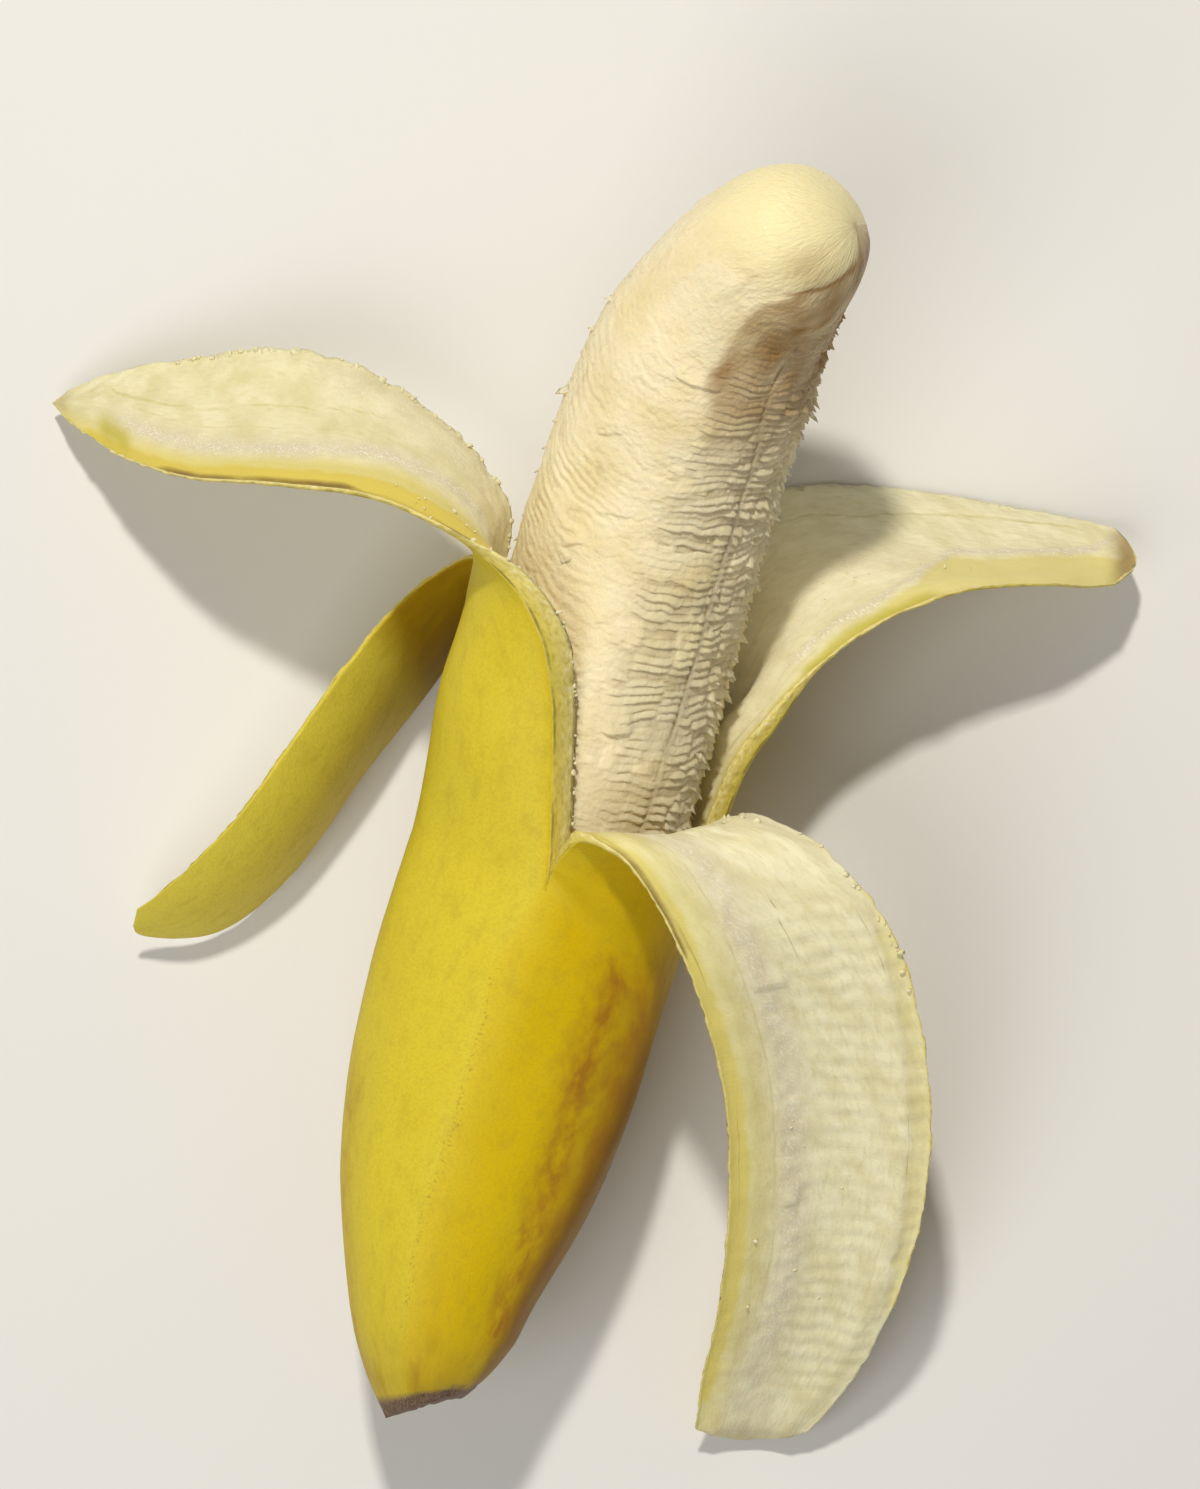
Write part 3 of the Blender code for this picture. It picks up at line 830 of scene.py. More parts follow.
@dataclass(frozen=True)
class Rind(Tissue):
    """The skin's waxy outside: even yellow, paler on the left facet and deeper on the right, partly their
    own tone and partly painted shade, with painted shade down the cup's right side and on the far strip, and
    fine specks along a ridge.
    """

    name: str = "banana rind, ripe and waxy"
    # pale and deep: the yellow of the left facet and of the right; the right is deeper partly by its own
    # tone and partly as painted shade
    pale: str = "#D8C432"
    deep: str = "#D5B504"
    # green: the light yellow-green of the ends; on the far strip's tip it also stands for painted light
    green: str = "#E6D650"
    bruise: str = "#A8681A"
    streak: str = "#8E5616"
    # shade: an orange-brown painted shade down the cup's right side and on the far strip, also the darker
    # blotches near the stub
    shade: str = "#8C560C"
    dust: str = "#A58A2A"
    speck: str = "#8A7420"
    cork: str = "#5A4232"
    cork_pale: str = "#8E755F"
    mottle_mm: float = 9.0
    cloud_mm: float = 2.2
    cloud_stretch: float = 0.6  # the bruise's clouds are longer along the fruit than across
    cloud_roughness: float = 0.62
    speck_mm: float = 0.42
    pore_mm: float = 0.4
    ior: float = 1.42
    specular: float = 0.22
    relief_mm: float = 0.05
    glow: float = 0.08
    glow_reach: Point = (1.0, 0.7, 0.15)

    def shader(self, tree: Tree) -> Socket:
        """Builds the shader and returns its output."""
        place = add_node(tree, "Attribute", {}, "Vector", attribute_name="straight")
        bruised, specked, green = self.marks(tree, "marks")
        facet, shaded, corky = self.marks(tree, "tones")
        drawn = add_node(tree, "Mapping", {"Vector": place, "Scale": (1, 1, self.cloud_stretch)})
        mottle, cloud, fine, pore = add_nodes(tree, "TexNoise", (  # place, 0, scale, detail, roughness
            (place, 0, 1 / self.mottle_mm, 4), (drawn, 0, 1 / self.cloud_mm, 5, self.cloud_roughness),
            (place, 0, 1 / self.speck_mm, 2), (place, 0, 1 / self.pore_mm, 2),
        ))
        # tone: the right facet's deeper yellow, partly its own and partly painted shade, with random mottle
        tone = add_node(tree, "Math", (mottle, 0.7, -0.35), operation="MULTIPLY_ADD")
        tone = add_node(tree, "Math", (facet, tone), operation="ADD", use_clamp=True)
        level = add_node(tree, "Math", (specked, -0.2, 0.73), operation="MULTIPLY_ADD")
        over = add_node(tree, "Math", (fine, level), operation="SUBTRACT")
        smear, even, dense, dusty, dots, pits, grain = add_nodes(tree, "MapRange", (  # from, to, low, high
            (cloud, 0.34, 0.62, 0.25), (cloud, 0.3, 0.7, 0.7), (cloud, 0.54, 0.74, 0, 0.36),
            (cloud, 0.5, 0.72, 0, 0.24), (over, 0, 0.1, 0, 0.45), (pore, 0.42, 0.66, 0, 0.18),
            (fine, 0.35, 0.65),
        ))
        # shade: painted shade, laid on evenly; bruise and streak: the real bruise, smeared and in streaks
        pairs = (even, shaded), (smear, bruised), (dense, bruised)
        shade, bruise, streak = add_nodes(tree, "Math", pairs, operation="MULTIPLY", use_clamp=True)
        cork = self.layered(tree, self.cork, ((grain, self.cork_pale),))
        colour = self.layered(tree, self.pale, (
            (tone, self.deep), (green, self.green), (shade, self.shade), (bruise, self.bruise),
            (streak, self.streak), (dusty, self.dust), (dots, self.speck), (pits, self.dust), (corky, cork),
        ))
        return self.body(tree, colour, self.roughness, pore)


@dataclass(frozen=True)
class TornEdge(Tissue):
    """The skin where it was torn through: granular and yellow-green, paler and crumbly towards the pith."""

    name: str = "banana skin, torn through"
    base: str = "#D9C656"
    pit: str = "#BDA93E"
    inner: str = "#E4D488"
    crumb: str = "#F1E9BE"
    line: str = "#75661C"
    grain_mm: float = 0.5
    stretch: float = 0.55  # the grains are longer along the fruit
    patch_mm: float = 4.0
    line_depth: float = 0.1  # of the way in from the outside, where a thin dark layer shows
    line_width: float = 0.08
    line_core: float = 0.02
    roughness: float = 0.45
    relief_mm: float = 0.18
    relief_strength: float = 0.7
    glow_reach: Point = (1.0, 0.8, 0.3)

    def shader(self, tree: Tree) -> Socket:
        """Builds the shader and returns its output."""
        place = add_node(tree, "Attribute", {}, "Vector", attribute_name="straight")
        depth = add_node(tree, "Attribute", {}, "Fac", attribute_name="depth")
        drawn = add_node(tree, "Mapping", {"Vector": place, "Scale": (1, 1, self.stretch)})
        scales = (drawn, 0, 1 / self.grain_mm, 3), (place, 0, 1 / self.patch_mm, 2)
        grain, patch = add_nodes(tree, "TexNoise", scales)  # place, 0, scale, detail
        away = add_node(tree, "Math", (depth, self.line_depth), operation="SUBTRACT")
        away = add_node(tree, "Math", (away,), operation="ABSOLUTE")
        inner, hollow, raised, line, some = add_nodes(tree, "MapRange", (  # from, to, low, high
            (depth, 0.2, 0.95), (grain, 0.48, 0.34, 0, 0.6), (grain, 0.55, 0.68),
            (away, self.line_width, self.line_core), (patch, 0.38, 0.54, 0, 0.65),
        ))
        raised, line = add_nodes(tree, "Math", ((raised, inner), (line, some)), operation="MULTIPLY")
        colour = self.layered(tree, self.base, (
            (inner, self.inner), (hollow, self.pit), (raised, self.crumb), (line, self.line),
        ))
        return self.body(tree, colour, self.roughness, grain)


@dataclass(frozen=True)
class Pith(Tissue):
    """The skin's soft inside: pale cream and faintly fibrous, with rough beige patches and yellow bands."""

    name: str = "banana pith, soft and pale"
    base: str = "#F2EBC4"
    damp: str = "#D6CA92"
    fibre: str = "#D6CA94"
    rough: str = "#DCD0AE"
    crumb: str = "#EFE8D0"
    band: str = "#E0D27C"
    band_deep: str = "#D9C457"
    olive: str = "#BDB030"
    vein: str = "#C3B65F"
    scar: str = "#7A5A28"
    tip: str = "#A58A55"
    mottle_mm: float = 4.5
    fibre_mm: float = 0.6
    stretch: float = 0.3  # the fibres are short
    grain_mm: float = 0.36
    roughness: float = 0.58
    relief_mm: float = 0.12
    glow: float = 0.25
    glow_mm: float = 1.5
    glow_reach: Point = (1.0, 0.85, 0.5)

    def shader(self, tree: Tree) -> Socket:
        """Builds the shader and returns its output."""
        place = add_node(tree, "Attribute", {}, "Vector", attribute_name="straight")
        banded, stained, browned = self.marks(tree, "pith_marks")
        to_vein, to_scar, olive = self.marks(tree, "pith_lines")
        # per strip: darker by the pith's own damp tone and by painted shade
        damp = self.marks(tree, "tones")[0]
        drawn = add_node(tree, "Mapping", {"Vector": place, "Scale": (1, 1, self.stretch)})
        fibre, mottle, grain = add_nodes(tree, "TexNoise", (  # place, 0, scale, detail
            (drawn, 0, 1 / self.fibre_mm, 3), (place, 0, 1 / self.mottle_mm, 4),
            (place, 0, 1 / self.grain_mm, 2),
        ))
        cloud, thread, some, crumbs, deep, vein, scar = add_nodes(tree, "MapRange", (  # from, to, low, high
            (mottle, 0.38, 0.66, 0, 0.5), (fibre, 0.48, 0.74, 0, 0.5), (mottle, 0.3, 0.55, 0.5),
            (grain, 0.54, 0.62), (banded, 0.8, 1.4), (to_vein, 1.5, 0.2, 0, 0.6),
            (to_scar, 1.5, 0.3, 0, 0.85),
        ))
        wet = add_node(tree, "Math", (cloud, damp), operation="ADD", use_clamp=True)
        pairs = (some, stained), (crumbs, stained), (scar, some)
        patch, crumbs, scar = add_nodes(tree, "Math", pairs, operation="MULTIPLY", use_clamp=True)
        colour = self.layered(tree, self.base, (
            (wet, self.damp), (thread, self.fibre), (patch, self.rough), (crumbs, self.crumb),
            (banded, self.band), (deep, self.band_deep), (olive, self.olive), (vein, self.vein),
            (scar, self.scar), (browned, self.tip),
        ))
        relief = add_node(tree, "Math", (fibre, grain), operation="ADD")
        return self.body(tree, colour, self.roughness, relief)


@dataclass(frozen=True)
class MoistFlesh(Tissue):
    """The ripe flesh: cream, with painted shade in its furrows and under its tip, slightly see-through, with
    moist glints.
    """

    name: str = "banana flesh, ripe and moist"
    crest: str = "#F4E5BC"
    warm: str = "#EAD8A4"
    # hollow: painted shade in the furrows, below the crests
    hollow: str = "#9C7F48"
    # grey: painted shade in the valley by the main groove, and the grey of the right belt
    grey: str = "#CCBE9A"
    tip: str = "#EFE2AE"
    # rim: the dark rim line under the tip, and the ochre and brown painted shade beside it
    rim: str = "#966A28"
    mottle_mm: float = 8.0
    fibre_mm: float = 0.7
    glint_mm: float = 0.8
    glint_roughness: float = 0.16
    relief_mm: float = 0.2
    relief_strength: float = 0.7
    glow: float = 0.3
    glow_mm: float = 1.6
    glow_reach: Point = (1.0, 0.75, 0.4)

    def shader(self, tree: Tree) -> Socket:
        """Builds the shader and returns its output."""
        place = add_node(tree, "Attribute", {}, "Vector", attribute_name="straight")
        raised, glossy, rimmed = self.marks(tree, "flesh_marks")
        dull = add_node(tree, "Attribute", {}, "Fac", attribute_name="dull")
        mottle, fine, glint = add_nodes(tree, "TexNoise", (  # place, 0, scale, detail
            (place, 0, 1 / self.mottle_mm, 4), (place, 0, 1 / self.fibre_mm, 4),
            (place, 0, 1 / self.glint_mm, 1),
        ))
        # low: how much painted shade a point gets, the lower it lies below its crest
        warmth, low, wet = add_nodes(tree, "MapRange", (  # from, to, low, high
            (mottle, 0.42, 0.7), (raised, 0.5, 0, 0, 0.9),
            (glint, 0.58, 0.7, self.roughness, self.glint_roughness),
        ))
        colour = self.layered(tree, self.crest, (
            (warmth, self.warm), (dull, self.grey), (low, self.hollow), (glossy, self.tip),
            (rimmed, self.rim),
        ))
        relief = add_node(tree, "Math", (fine, glint), operation="ADD")
        return self.body(tree, colour, wet, relief)


@dataclass(frozen=True)
class PalePaper(Finish):
    """Matt off-white paper, the plain ground that the banana lies on."""

    name: str = "studio paper, matt"
    colour: str = "#E4E2DC"
    roughness: float = 0.9

    def shader(self, tree: Tree) -> Socket:
        """Builds the shader and returns its output."""
        inputs = {"Base Color": srgb(self.colour), "Roughness": self.roughness}
        return add_node(tree, "BsdfPrincipled", inputs)


def fill_mesh(name: str, bm: bmesh.types.BMesh, finishes: Sequence[Finish]) -> bpy.types.Object:
    """Turns a bmesh to a linked object.

    Args:
        name: The object's name.
        bm: Its shape, which is freed.
        finishes: Its finishes, in the order of its faces' material numbers.

    Returns:
        The object.
    """
    mesh = bpy.data.meshes.new(name)
    bm.to_mesh(mesh)
    bm.free()
    for finish in finishes:
        mesh.materials.append(finish.make())
    mesh.shade_smooth()
    piece = bpy.data.objects.new(name, mesh)
    bpy.context.scene.collection.objects.link(piece)
    return piece


def face_outwards(bm: bmesh.types.BMesh) -> None:
    """Turns the faces of a closed bmesh out."""
    bmesh.ops.recalc_face_normals(bm, faces=bm.faces[:])
    if bm.calc_volume(signed=True) < 0:
        bmesh.ops.reverse_faces(bm, faces=bm.faces[:])


def read_points(mesh: bpy.types.Mesh, name: str, width: int) -> Array:
    """Reads an attribute of a mesh's points.

    Args:
        mesh: The mesh.
        name: The attribute's name.
        width: How many numbers it holds for a point.

    Returns:
        A row a point, or one number a point where the width is 1.
    """
    values = np.zeros(len(mesh.vertices) * width, np.float32)
    mesh.attributes[name].data.foreach_get("vector" if width == 3 else "value", values)
    return values.reshape(-1, width).astype(float) if width > 1 else values.astype(float)


def read_spots(mesh: bpy.types.Mesh) -> Array:
    """Places of a mesh's points, in millimetres."""
    spots = np.zeros(len(mesh.vertices) * 3, np.float32)
    mesh.vertices.foreach_get("co", spots)
    return spots.reshape(-1, 3).astype(float) / MM


def write_points(mesh: bpy.types.Mesh, name: str, values: Array) -> None:
    """Writes an attribute of a mesh's points: a row of three or one number for each."""
    wide = values.ndim == 2
    kind = "FLOAT_VECTOR" if wide else "FLOAT"
    layer = mesh.attributes.get(name) or mesh.attributes.new(name, kind, "POINT")
    layer.data.foreach_set("vector" if wide else "value", values.astype(np.float32).ravel())


def mark_evenly(mesh: bpy.types.Mesh, marks: Mapping[str, float | Point]) -> None:
    """Gives all points of a mesh the same marks, and lays patterns out on the points' places."""
    spots = read_spots(mesh)
    write_points(mesh, "straight", spots)
    for name, mark in marks.items():
        write_points(mesh, name, np.broadcast_to(np.array(mark, float), (len(spots), *np.shape(mark))))


@dataclass
class Peel:
    """The whole skin: a cup with a corky stub, and four strips torn from it."""

    # Unevenness: of a point's way along a strip, of its way along and across, and of its spot
    LINE_SWAY = (Grain(0.5, 12, 21), Grain(0.2, 3, 27))
    BORDER_SWAY = (Grain(0.35, 1.6, 31), Grain(0.45, (6,), 32))
    PITH_LUMPS, PITH_CRUMBS = Grain(0.1, 3.2, 25), Grain(1, 1.1, 26)
    SOFT_DENTS = (Grain(0.1, 9, 11), Grain(0.025, 2, 12))
    CORK_BUMPS = (Grain(0.3, 1.2, 13), Grain(0.45, 3.5, 14))
    WET_GRAINS = (Grain(0.2, 0.8, 15), Grain(0.14, 2.2, 16))
    # And of its way across and along
    PRINT_MEAN, PRINT_PATCHES, PRINT_WAVER = 0.65, Grain(0.5, (4, 7), 23), Grain(0.35, (2.5, 6), 22)
    PITH_STRINGS = Grain(0.03, (0.95, 9), 24)
    # Marks of the pith
    FAR_AWAY = 4.0  # widths from a vein or scar at which nothing of it shows
    BAND_FADE, STAIN_FADE, SHADE_FADE, LINE_FADE = 4.0, 8.0, 3.0, 5.0  # past their ends
    LINE_SWAY_SHARE = 0.5  # how much of the sway lines have
    FAINT_AWAY, ENDED_AWAY = 1.3, 2  # widths that a faint line, and an ended one, seem further off
    PRINT_SIDE_FADE, PRINT_END_FADE = 0.12, 8
    FLAP_RAG, FLAP_END, FLAP_SIDE = 1.3, 0.5, 0.8  # how ragged a flap's end is, and its soft borders
    TIP_RAG, TIP_SPAN, TIP_POWER = 1.2, 0.8, 1.5  # how a brown tip sets in
    VEIN_DEPTH, SCAR_DEPTH = 0.12, 0.2
    STAIN_RISE, STAIN_ROUGH, CRUMB_HEIGHT = 0.1, 0.2, 0.04
    BARED_FROM, BARED_CALM = 0.3, 0.6  # where the pith has come away, its relief is calmer
    PITH_EASE, WALL_EASE = 4, 3  # lengths over which the relief sets in before the tear
    WALL_BULGE = 0.5
    CORK_RELIEF = Fade(1, 3.4, -2.4)  # by the distance from the stub
    # Marks of the outside: strength, degrees aside and spread, or distances from the stub and a fade
    BRUISE_SWAY, SPECK_SWAY = Grain(2.5, 8, 17), Grain(0.5, 5, 34)
    BRUISES, BRUISE_SPAN = ((0.85, 0, 9), (0.5, 16, 14)), (14, 64, 9)
    FAINT_BRUISE, FAINT_SPAN = (0.4, 62, 10), (8, 40, 10)
    SPECK_WIDTH, SPECK_SPAN = 0.8, (9, 62, 6)
    # On the far strip's tip the light yellow-green is partly its own tint and partly painted light
    STUB_GREEN, TIP_GREEN, FAR_GREEN = Fade(0.2, 14, -10), 0.6, Fade(0.75, 56, 9)
    # The facets' parting: how deep the right facet's yellow is, partly its own tone and partly painted shade
    FACET_SHARES, FACET_SOFT, FACET_CRISP, FACET_SWELL = (0.6, 0.4), 1.2, 6.8, 2.4  # crisp on the ridge
    # The far strip's upper part: deeper yellow as painted shade, and a painted shadow of the left strip over
    # it
    FAR_FACET, FAR_SHADE = Fade(0.7, 66, -12), Fade(0.6, 64, -7)
    # Painted shade down the cup's right side, where it turns from the light
    SIDE_SHADE = (Fade(0.95, 50, -22), Fade(1, -60, 20), Fade(1, 78, -30))  # by bearing and distance
    BLOTCHES, BLOTCH_BASE, BLOTCH_RISE = Grain(1, (13, 5), 33), 0.14, Fade(0.2, 0.15, 0.4)
    LOW_SHADE, STUB_SHADE = Fade(1, 26, -20), Fade(0.2, 12, -8)
    CORK_TOP, CORK_FADE, CORK_BORDER = 2.1, 0.8, (Grain(0.5, 17, 5), Grain(0.35, 5, 6))

    name: str = "peel_skin"
    node: str = "peel"
    end_rows: int = 8  # rings on the stub's flat end
    cup_rows: int = 44
    wall_cuts: int = 4  # rows between the outside and the inside on a torn edge
    cup_crowding: float = 1.25  # how much closer the cup's rows lie towards the stub
    drum: float = 18.0  # radius of the straight fruit that patterns are laid out on
    inner_share: float = 0.84  # of it on the inside, so that patterns run on through the wall
    ridge_line: tuple[Pair, ...] = (  # distance from the stub, and bearing of the specked ridge there
        (8, 112), (13.5, 109), (20.5, 105.5), (29, 103), (35, 100.5), (52, 99), (62, 100), (75, 92),
    )
    bruise_line: tuple[Pair, ...] = ((13, 42.5), (20, 47), (38, 50), (53, 54), (60, 51.5), (70, 51))
    gores: list[Gore] = field(default_factory=lambda: [Gore(strip, FRUIT) for strip in STRIPS])

    def build(self) -> bpy.types.Object:
        """Models and dresses the skin."""
        bm = self.shell()
        self.part_finishes(bm)
        piece = fill_mesh(self.name, bm, (Rind(), TornEdge(), Pith()))
        self.carve(piece.data)
        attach(piece, BODY)
        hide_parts(self.node)
        return piece

    def shell(self) -> bmesh.types.BMesh:
        """Draws the four gores, joins them at the cup and draws the inside out of the outside."""
        bm = bmesh.new()
        tables = []
        for number, gore in enumerate(self.gores):
            rows = self.end_rows + self.cup_rows + gore.strip.rows
            grid = bmesh.ops.create_grid(bm, x_segments=gore.strip.columns, y_segments=rows, size=1)["verts"]
            share = np.array([vert.co[:2] for vert in grid]) / 2 + 0.5
            across = share[:, 0] - gore.CROWDING * np.sin(2 * np.pi * share[:, 0]) / (2 * np.pi)
            tables.append(self.gore_table(number, gore, across, np.round(share[:, 1] * rows)))
        outside, inside, straight, torn, number = (np.concatenate(column) for column in zip(*tables))
        outside[:, 2] = np.maximum(outside[:, 2], 0)
        layers = bm.verts.layers
        inside_layer = layers.float_vector.new("inside")
        straight_layer = layers.float_vector.new("straight")
        torn_layer = layers.float_vector.new("torn")
        gore_layer = layers.float.new("gore")
        depth_layer = layers.float.new("depth")
        for index, vert in enumerate(bm.verts):
            vert.co = outside[index] * MM
            vert[inside_layer] = inside[index] * MM
            vert[straight_layer] = straight[index]
            vert[torn_layer] = torn[index]
            vert[gore_layer] = number[index]
        bmesh.ops.remove_doubles(bm, verts=bm.verts[:], dist=0.004 * MM)
        drawn = bmesh.ops.extrude_face_region(bm, geom=bm.faces[:], use_keep_orig=True)["geom"]
        inner = Vector((self.inner_share, self.inner_share, 1))
        for vert in drawn:
            if isinstance(vert, bmesh.types.BMVert):
                vert.co = vert[inside_layer]
                vert[depth_layer] = 1.0
                vert[straight_layer] = vert[straight_layer] * inner
        walls = [edge for edge in bm.edges if edge.verts[0][depth_layer] != edge.verts[1][depth_layer]]
        bmesh.ops.subdivide_edges(bm, edges=walls, cuts=self.wall_cuts, use_grid_fill=True)
        face_outwards(bm)
        return bm

    def gore_table(self, number: int, gore: Gore, across: Array, row: Array) -> tuple:
        """Places the points of a gore's grid.

        Args:
            number: The gore's number.
            gore: The gore.
            across: Shares from its first edge to its second.
            row: Whole rows from the stub's middle to the strip's tip.

        Returns:
            Points outside, points inside, straight places, torn places and gore numbers.
        """
        end = np.clip(row / self.end_rows, 0, 1)
        cup = np.clip((row - self.end_rows) / self.cup_rows, 0, 1)
        reach = np.clip((row - self.end_rows - self.cup_rows) / gore.strip.rows, 0, 1)
        share = cup**self.cup_crowding
        cup_outside, cup_inside = gore.on_cup(across, share)
        hub_outside, hub_inside = gore.on_cup(across, np.zeros_like(share))
        centre = gore.fruit.course.at(np.full_like(share, gore.fruit.stub_slant / 2))
        cup_outside = np.where((end < 1)[:, None], mix((centre, hub_outside), end[:, None]), cup_outside)
        pit = gore.fruit.course.at(np.full_like(share, gore.fruit.foot - gore.fruit.clearance))
        cup_inside = np.where((end < 1)[:, None], mix((pit, hub_inside), end[:, None]), cup_inside)
        strip_outside, strip_inside, past = gore.on_strip(across, reach)
        free = (reach > 0)[:, None]
        outside = np.where(free, strip_outside, cup_outside)
        inside = np.where(free, strip_inside, cup_inside)
        tear = mix(gore.strip.tears, across)
        past = np.where(free[:, 0], past, tear * (share - 1))
        angle = np.radians(mix(gore.strip.bearings, across))
        drum = self.drum * end
        straight = np.stack([drum * np.cos(angle), drum * np.sin(angle), tear + past], axis=-1)
        width = gore.width(np.maximum(past, 0))
        torn = np.stack([across * width, past, width], axis=-1)
        return outside, inside, straight, torn, np.full(len(across), float(number))

    @staticmethod
    def part_finishes(bm: bmesh.types.BMesh) -> None:
        """Gives each face the number of the outside, the torn edge or the inside."""
        depth = bm.verts.layers.float["depth"]
        for face in bm.faces:
            depths = [vert[depth] for vert in face.verts]
            face.material_index = 0 if max(depths) == 0 else 2 if min(depths) == 1 else 1

    def carve(self, mesh: bpy.types.Mesh) -> None:
        """Raises the relief of the skin and notes what its finishes need."""
        normals = np.zeros(len(mesh.vertices) * 3, np.float32)
        mesh.vertex_normals.foreach_get("vector", normals)
        fields = Fields(
            read_spots(mesh), read_points(mesh, "straight", 3),
            read_points(mesh, "gore", 1), read_points(mesh, "torn", 3), read_points(mesh, "depth", 1),
        )
        marks = self.pith_marks(fields)
        height = np.where(fields.depth == 1, self.pith_relief(fields, marks), 0)
        height = height + np.where(fields.depth == 0, self.skin_relief(fields), 0)
        height = height + np.where((fields.depth > 0) & (fields.depth < 1), self.wall_relief(fields), 0)
        moved = fields.spot + normals.reshape(-1, 3) * height[:, None]
        moved[:, 2] = np.where(fields.spot[:, 2] <= 0, 0, np.maximum(moved[:, 2], 0))
        mesh.vertices.foreach_set("co", (moved * MM).astype(np.float32).ravel())
        write_points(mesh, "pith_marks", np.stack([marks["band"], marks["stain"], marks["tip"]], axis=-1))
        write_points(mesh, "pith_lines", np.stack([marks["vein"], marks["scar"], marks["shade"]], axis=-1))
        self.mark_skin(mesh, fields, marks["tip"])
        for spare in ("inside", "torn", "gore"):
            mesh.attributes.remove(mesh.attributes[spare])
        mesh.update()

    @staticmethod
    def beside(fields: Fields, edge: Edge, course: Sequence[Pair], fade: float) -> tuple[Array, Array]:
        """Measures points against a line that runs along a strip.

        Args:
            fields: The points' places.
            edge: The edge from which the line is set out.
            course: Millimetres past the tear, and millimetres from the edge there.
            fade: How far past its ends the line fades out.

        Returns:
            Millimetres from the line, below 0 on its edge's side, and 1 beside the line but 0 past its ends.
        """
        side = fields.torn[:, 0] if edge is FIRST else fields.torn[:, 2] - fields.torn[:, 0]
        places, reaches = zip(*course)
        gap = side - np.interp(fields.past_tear, places, reaches)
        return gap, window(fields.past_tear, places[0], places[-1], fade)

    def pith_marks(self, fields: Fields) -> dict[str, Array]:
        """Works out the marks of the pith.

        Args:
            fields: The points' places.

        Returns:
            How yellow, stained, shaded and browned each point is, how deep the pith has come away there,
            its prints, and how many line widths it lies from a vein and from a scar.
        """
        side, past, width = fields.torn.T
        names = ("band", "bared", "stain", "shade", "tip", "prints", "flap")
        marks = {name: np.zeros(len(side)) for name in names}
        marks["vein"], marks["scar"] = np.full(len(side), self.FAR_AWAY), np.full(len(side), self.FAR_AWAY)
        sway, ragged = uneven(self.LINE_SWAY, past), uneven(self.BORDER_SWAY, past, side)
        patchy = self.PRINT_MEAN + self.PRINT_PATCHES.at(side, past)
        for number, gore in enumerate(self.gores):
            strip = gore.strip
            here = np.round(fields.gore) == number
            for band in strip.bands:
                gap, ends = self.beside(fields, band.edge, band.reach, self.BAND_FADE)
                inside = here * ends * ease((ragged - gap) / band.fade + 0.5)
                marks["band"] = np.maximum(marks["band"], inside * band.tint)
                marks["bared"] = np.maximum(marks["bared"], inside * band.depth)
            patches = ("stain", strip.stains, self.STAIN_FADE), ("shade", strip.shades, self.SHADE_FADE)
            for kind, line, fade in ((kind, line, fade) for kind, lines, fade in patches for line in lines):
                gap, ends = self.beside(fields, line.edge, line.course, fade)
                patch = here * ends * line.strength * hump((gap + sway + ragged) / line.width)
                marks[kind] = np.maximum(marks[kind], patch)
            thin = ("vein", strip.veins), ("scar", strip.scars)
            for kind, line in ((kind, line) for kind, lines in thin for line in lines):
                gap, ends = self.beside(fields, line.edge, line.course, self.LINE_FADE)
                away = np.abs(gap + self.LINE_SWAY_SHARE * sway) / line.width
                away = away + self.FAINT_AWAY * (1 - line.strength) + self.ENDED_AWAY * (1 - ends)
                marks[kind] = np.where(here, np.minimum(marks[kind], away), marks[kind])
            for waves in strip.prints:
                phase = (past + waves.slant * side) / waves.pitch + self.PRINT_WAVER.at(side, past)
                show = window(side / width, *waves.across, self.PRINT_SIDE_FADE)
                show = show * window(past, *waves.along, self.PRINT_END_FADE)
                marks["prints"] += here * waves.depth * patchy * show * np.sin(2 * np.pi * phase)
            for flap in strip.flaps:
                (near, far), (root, end) = flap.sides, flap.along
                free = ease((end - past + self.FLAP_RAG * ragged) / self.FLAP_END + 0.5)
                rise = ease((past - root) / (end - root)) * free
                flat = ease((side - near + ragged) / self.FLAP_SIDE)
                flat = flat * ease((far - side + ragged) / self.FLAP_SIDE)
                marks["flap"] = np.maximum(marks["flap"], here * flap.height * rise * flat)
            span, strength = strip.tip
            shrunk = ease((past - gore.length + span + self.TIP_RAG * ragged) / (self.TIP_SPAN * span))
            marks["tip"] = np.maximum(marks["tip"], here * strength * shrunk**self.TIP_POWER)
        return marks

    def pith_relief(self, fields: Fields, marks: Mapping[str, Array]) -> Array:
        """Relief of the pith: prints, soft lumps, crumbs where it is rough, and the dropped bands."""
        side, past, _ = fields.torn.T
        crumbs = self.PITH_CRUMBS.at(*fields.spot.T)
        relief = marks["prints"] + self.PITH_STRINGS.at(side, past) + self.PITH_LUMPS.at(*fields.spot.T)
        relief = relief + self.CRUMB_HEIGHT * crumbs
        relief = relief - self.VEIN_DEPTH * hump(marks["vein"]) - self.SCAR_DEPTH * hump(marks["scar"])
        relief = relief + marks["stain"] * (self.STAIN_RISE + self.STAIN_ROUGH * crumbs) + marks["flap"]
        calm = 1 - self.BARED_CALM * (marks["bared"] > self.BARED_FROM)
        return relief * ease(past / self.PITH_EASE + 1) * calm - marks["bared"]

    def skin_relief(self, fields: Fields) -> Array:
        """Relief of the skin's outside: soft dents, and the stub's corky bumps."""
        cork = uneven(self.CORK_BUMPS, *fields.spot.T) * self.CORK_RELIEF.at(fields.height)
        return uneven(self.SOFT_DENTS, *fields.spot.T) + cork

    def wall_relief(self, fields: Fields) -> Array:
        """Relief of the torn edges: a slight bulge between two faces, and wet grains."""
        grain = uneven(self.WET_GRAINS, *fields.spot.T) * ease(fields.past_tear / self.WALL_EASE + 1)
        return self.WALL_BULGE * fields.depth * (1 - fields.depth) + grain

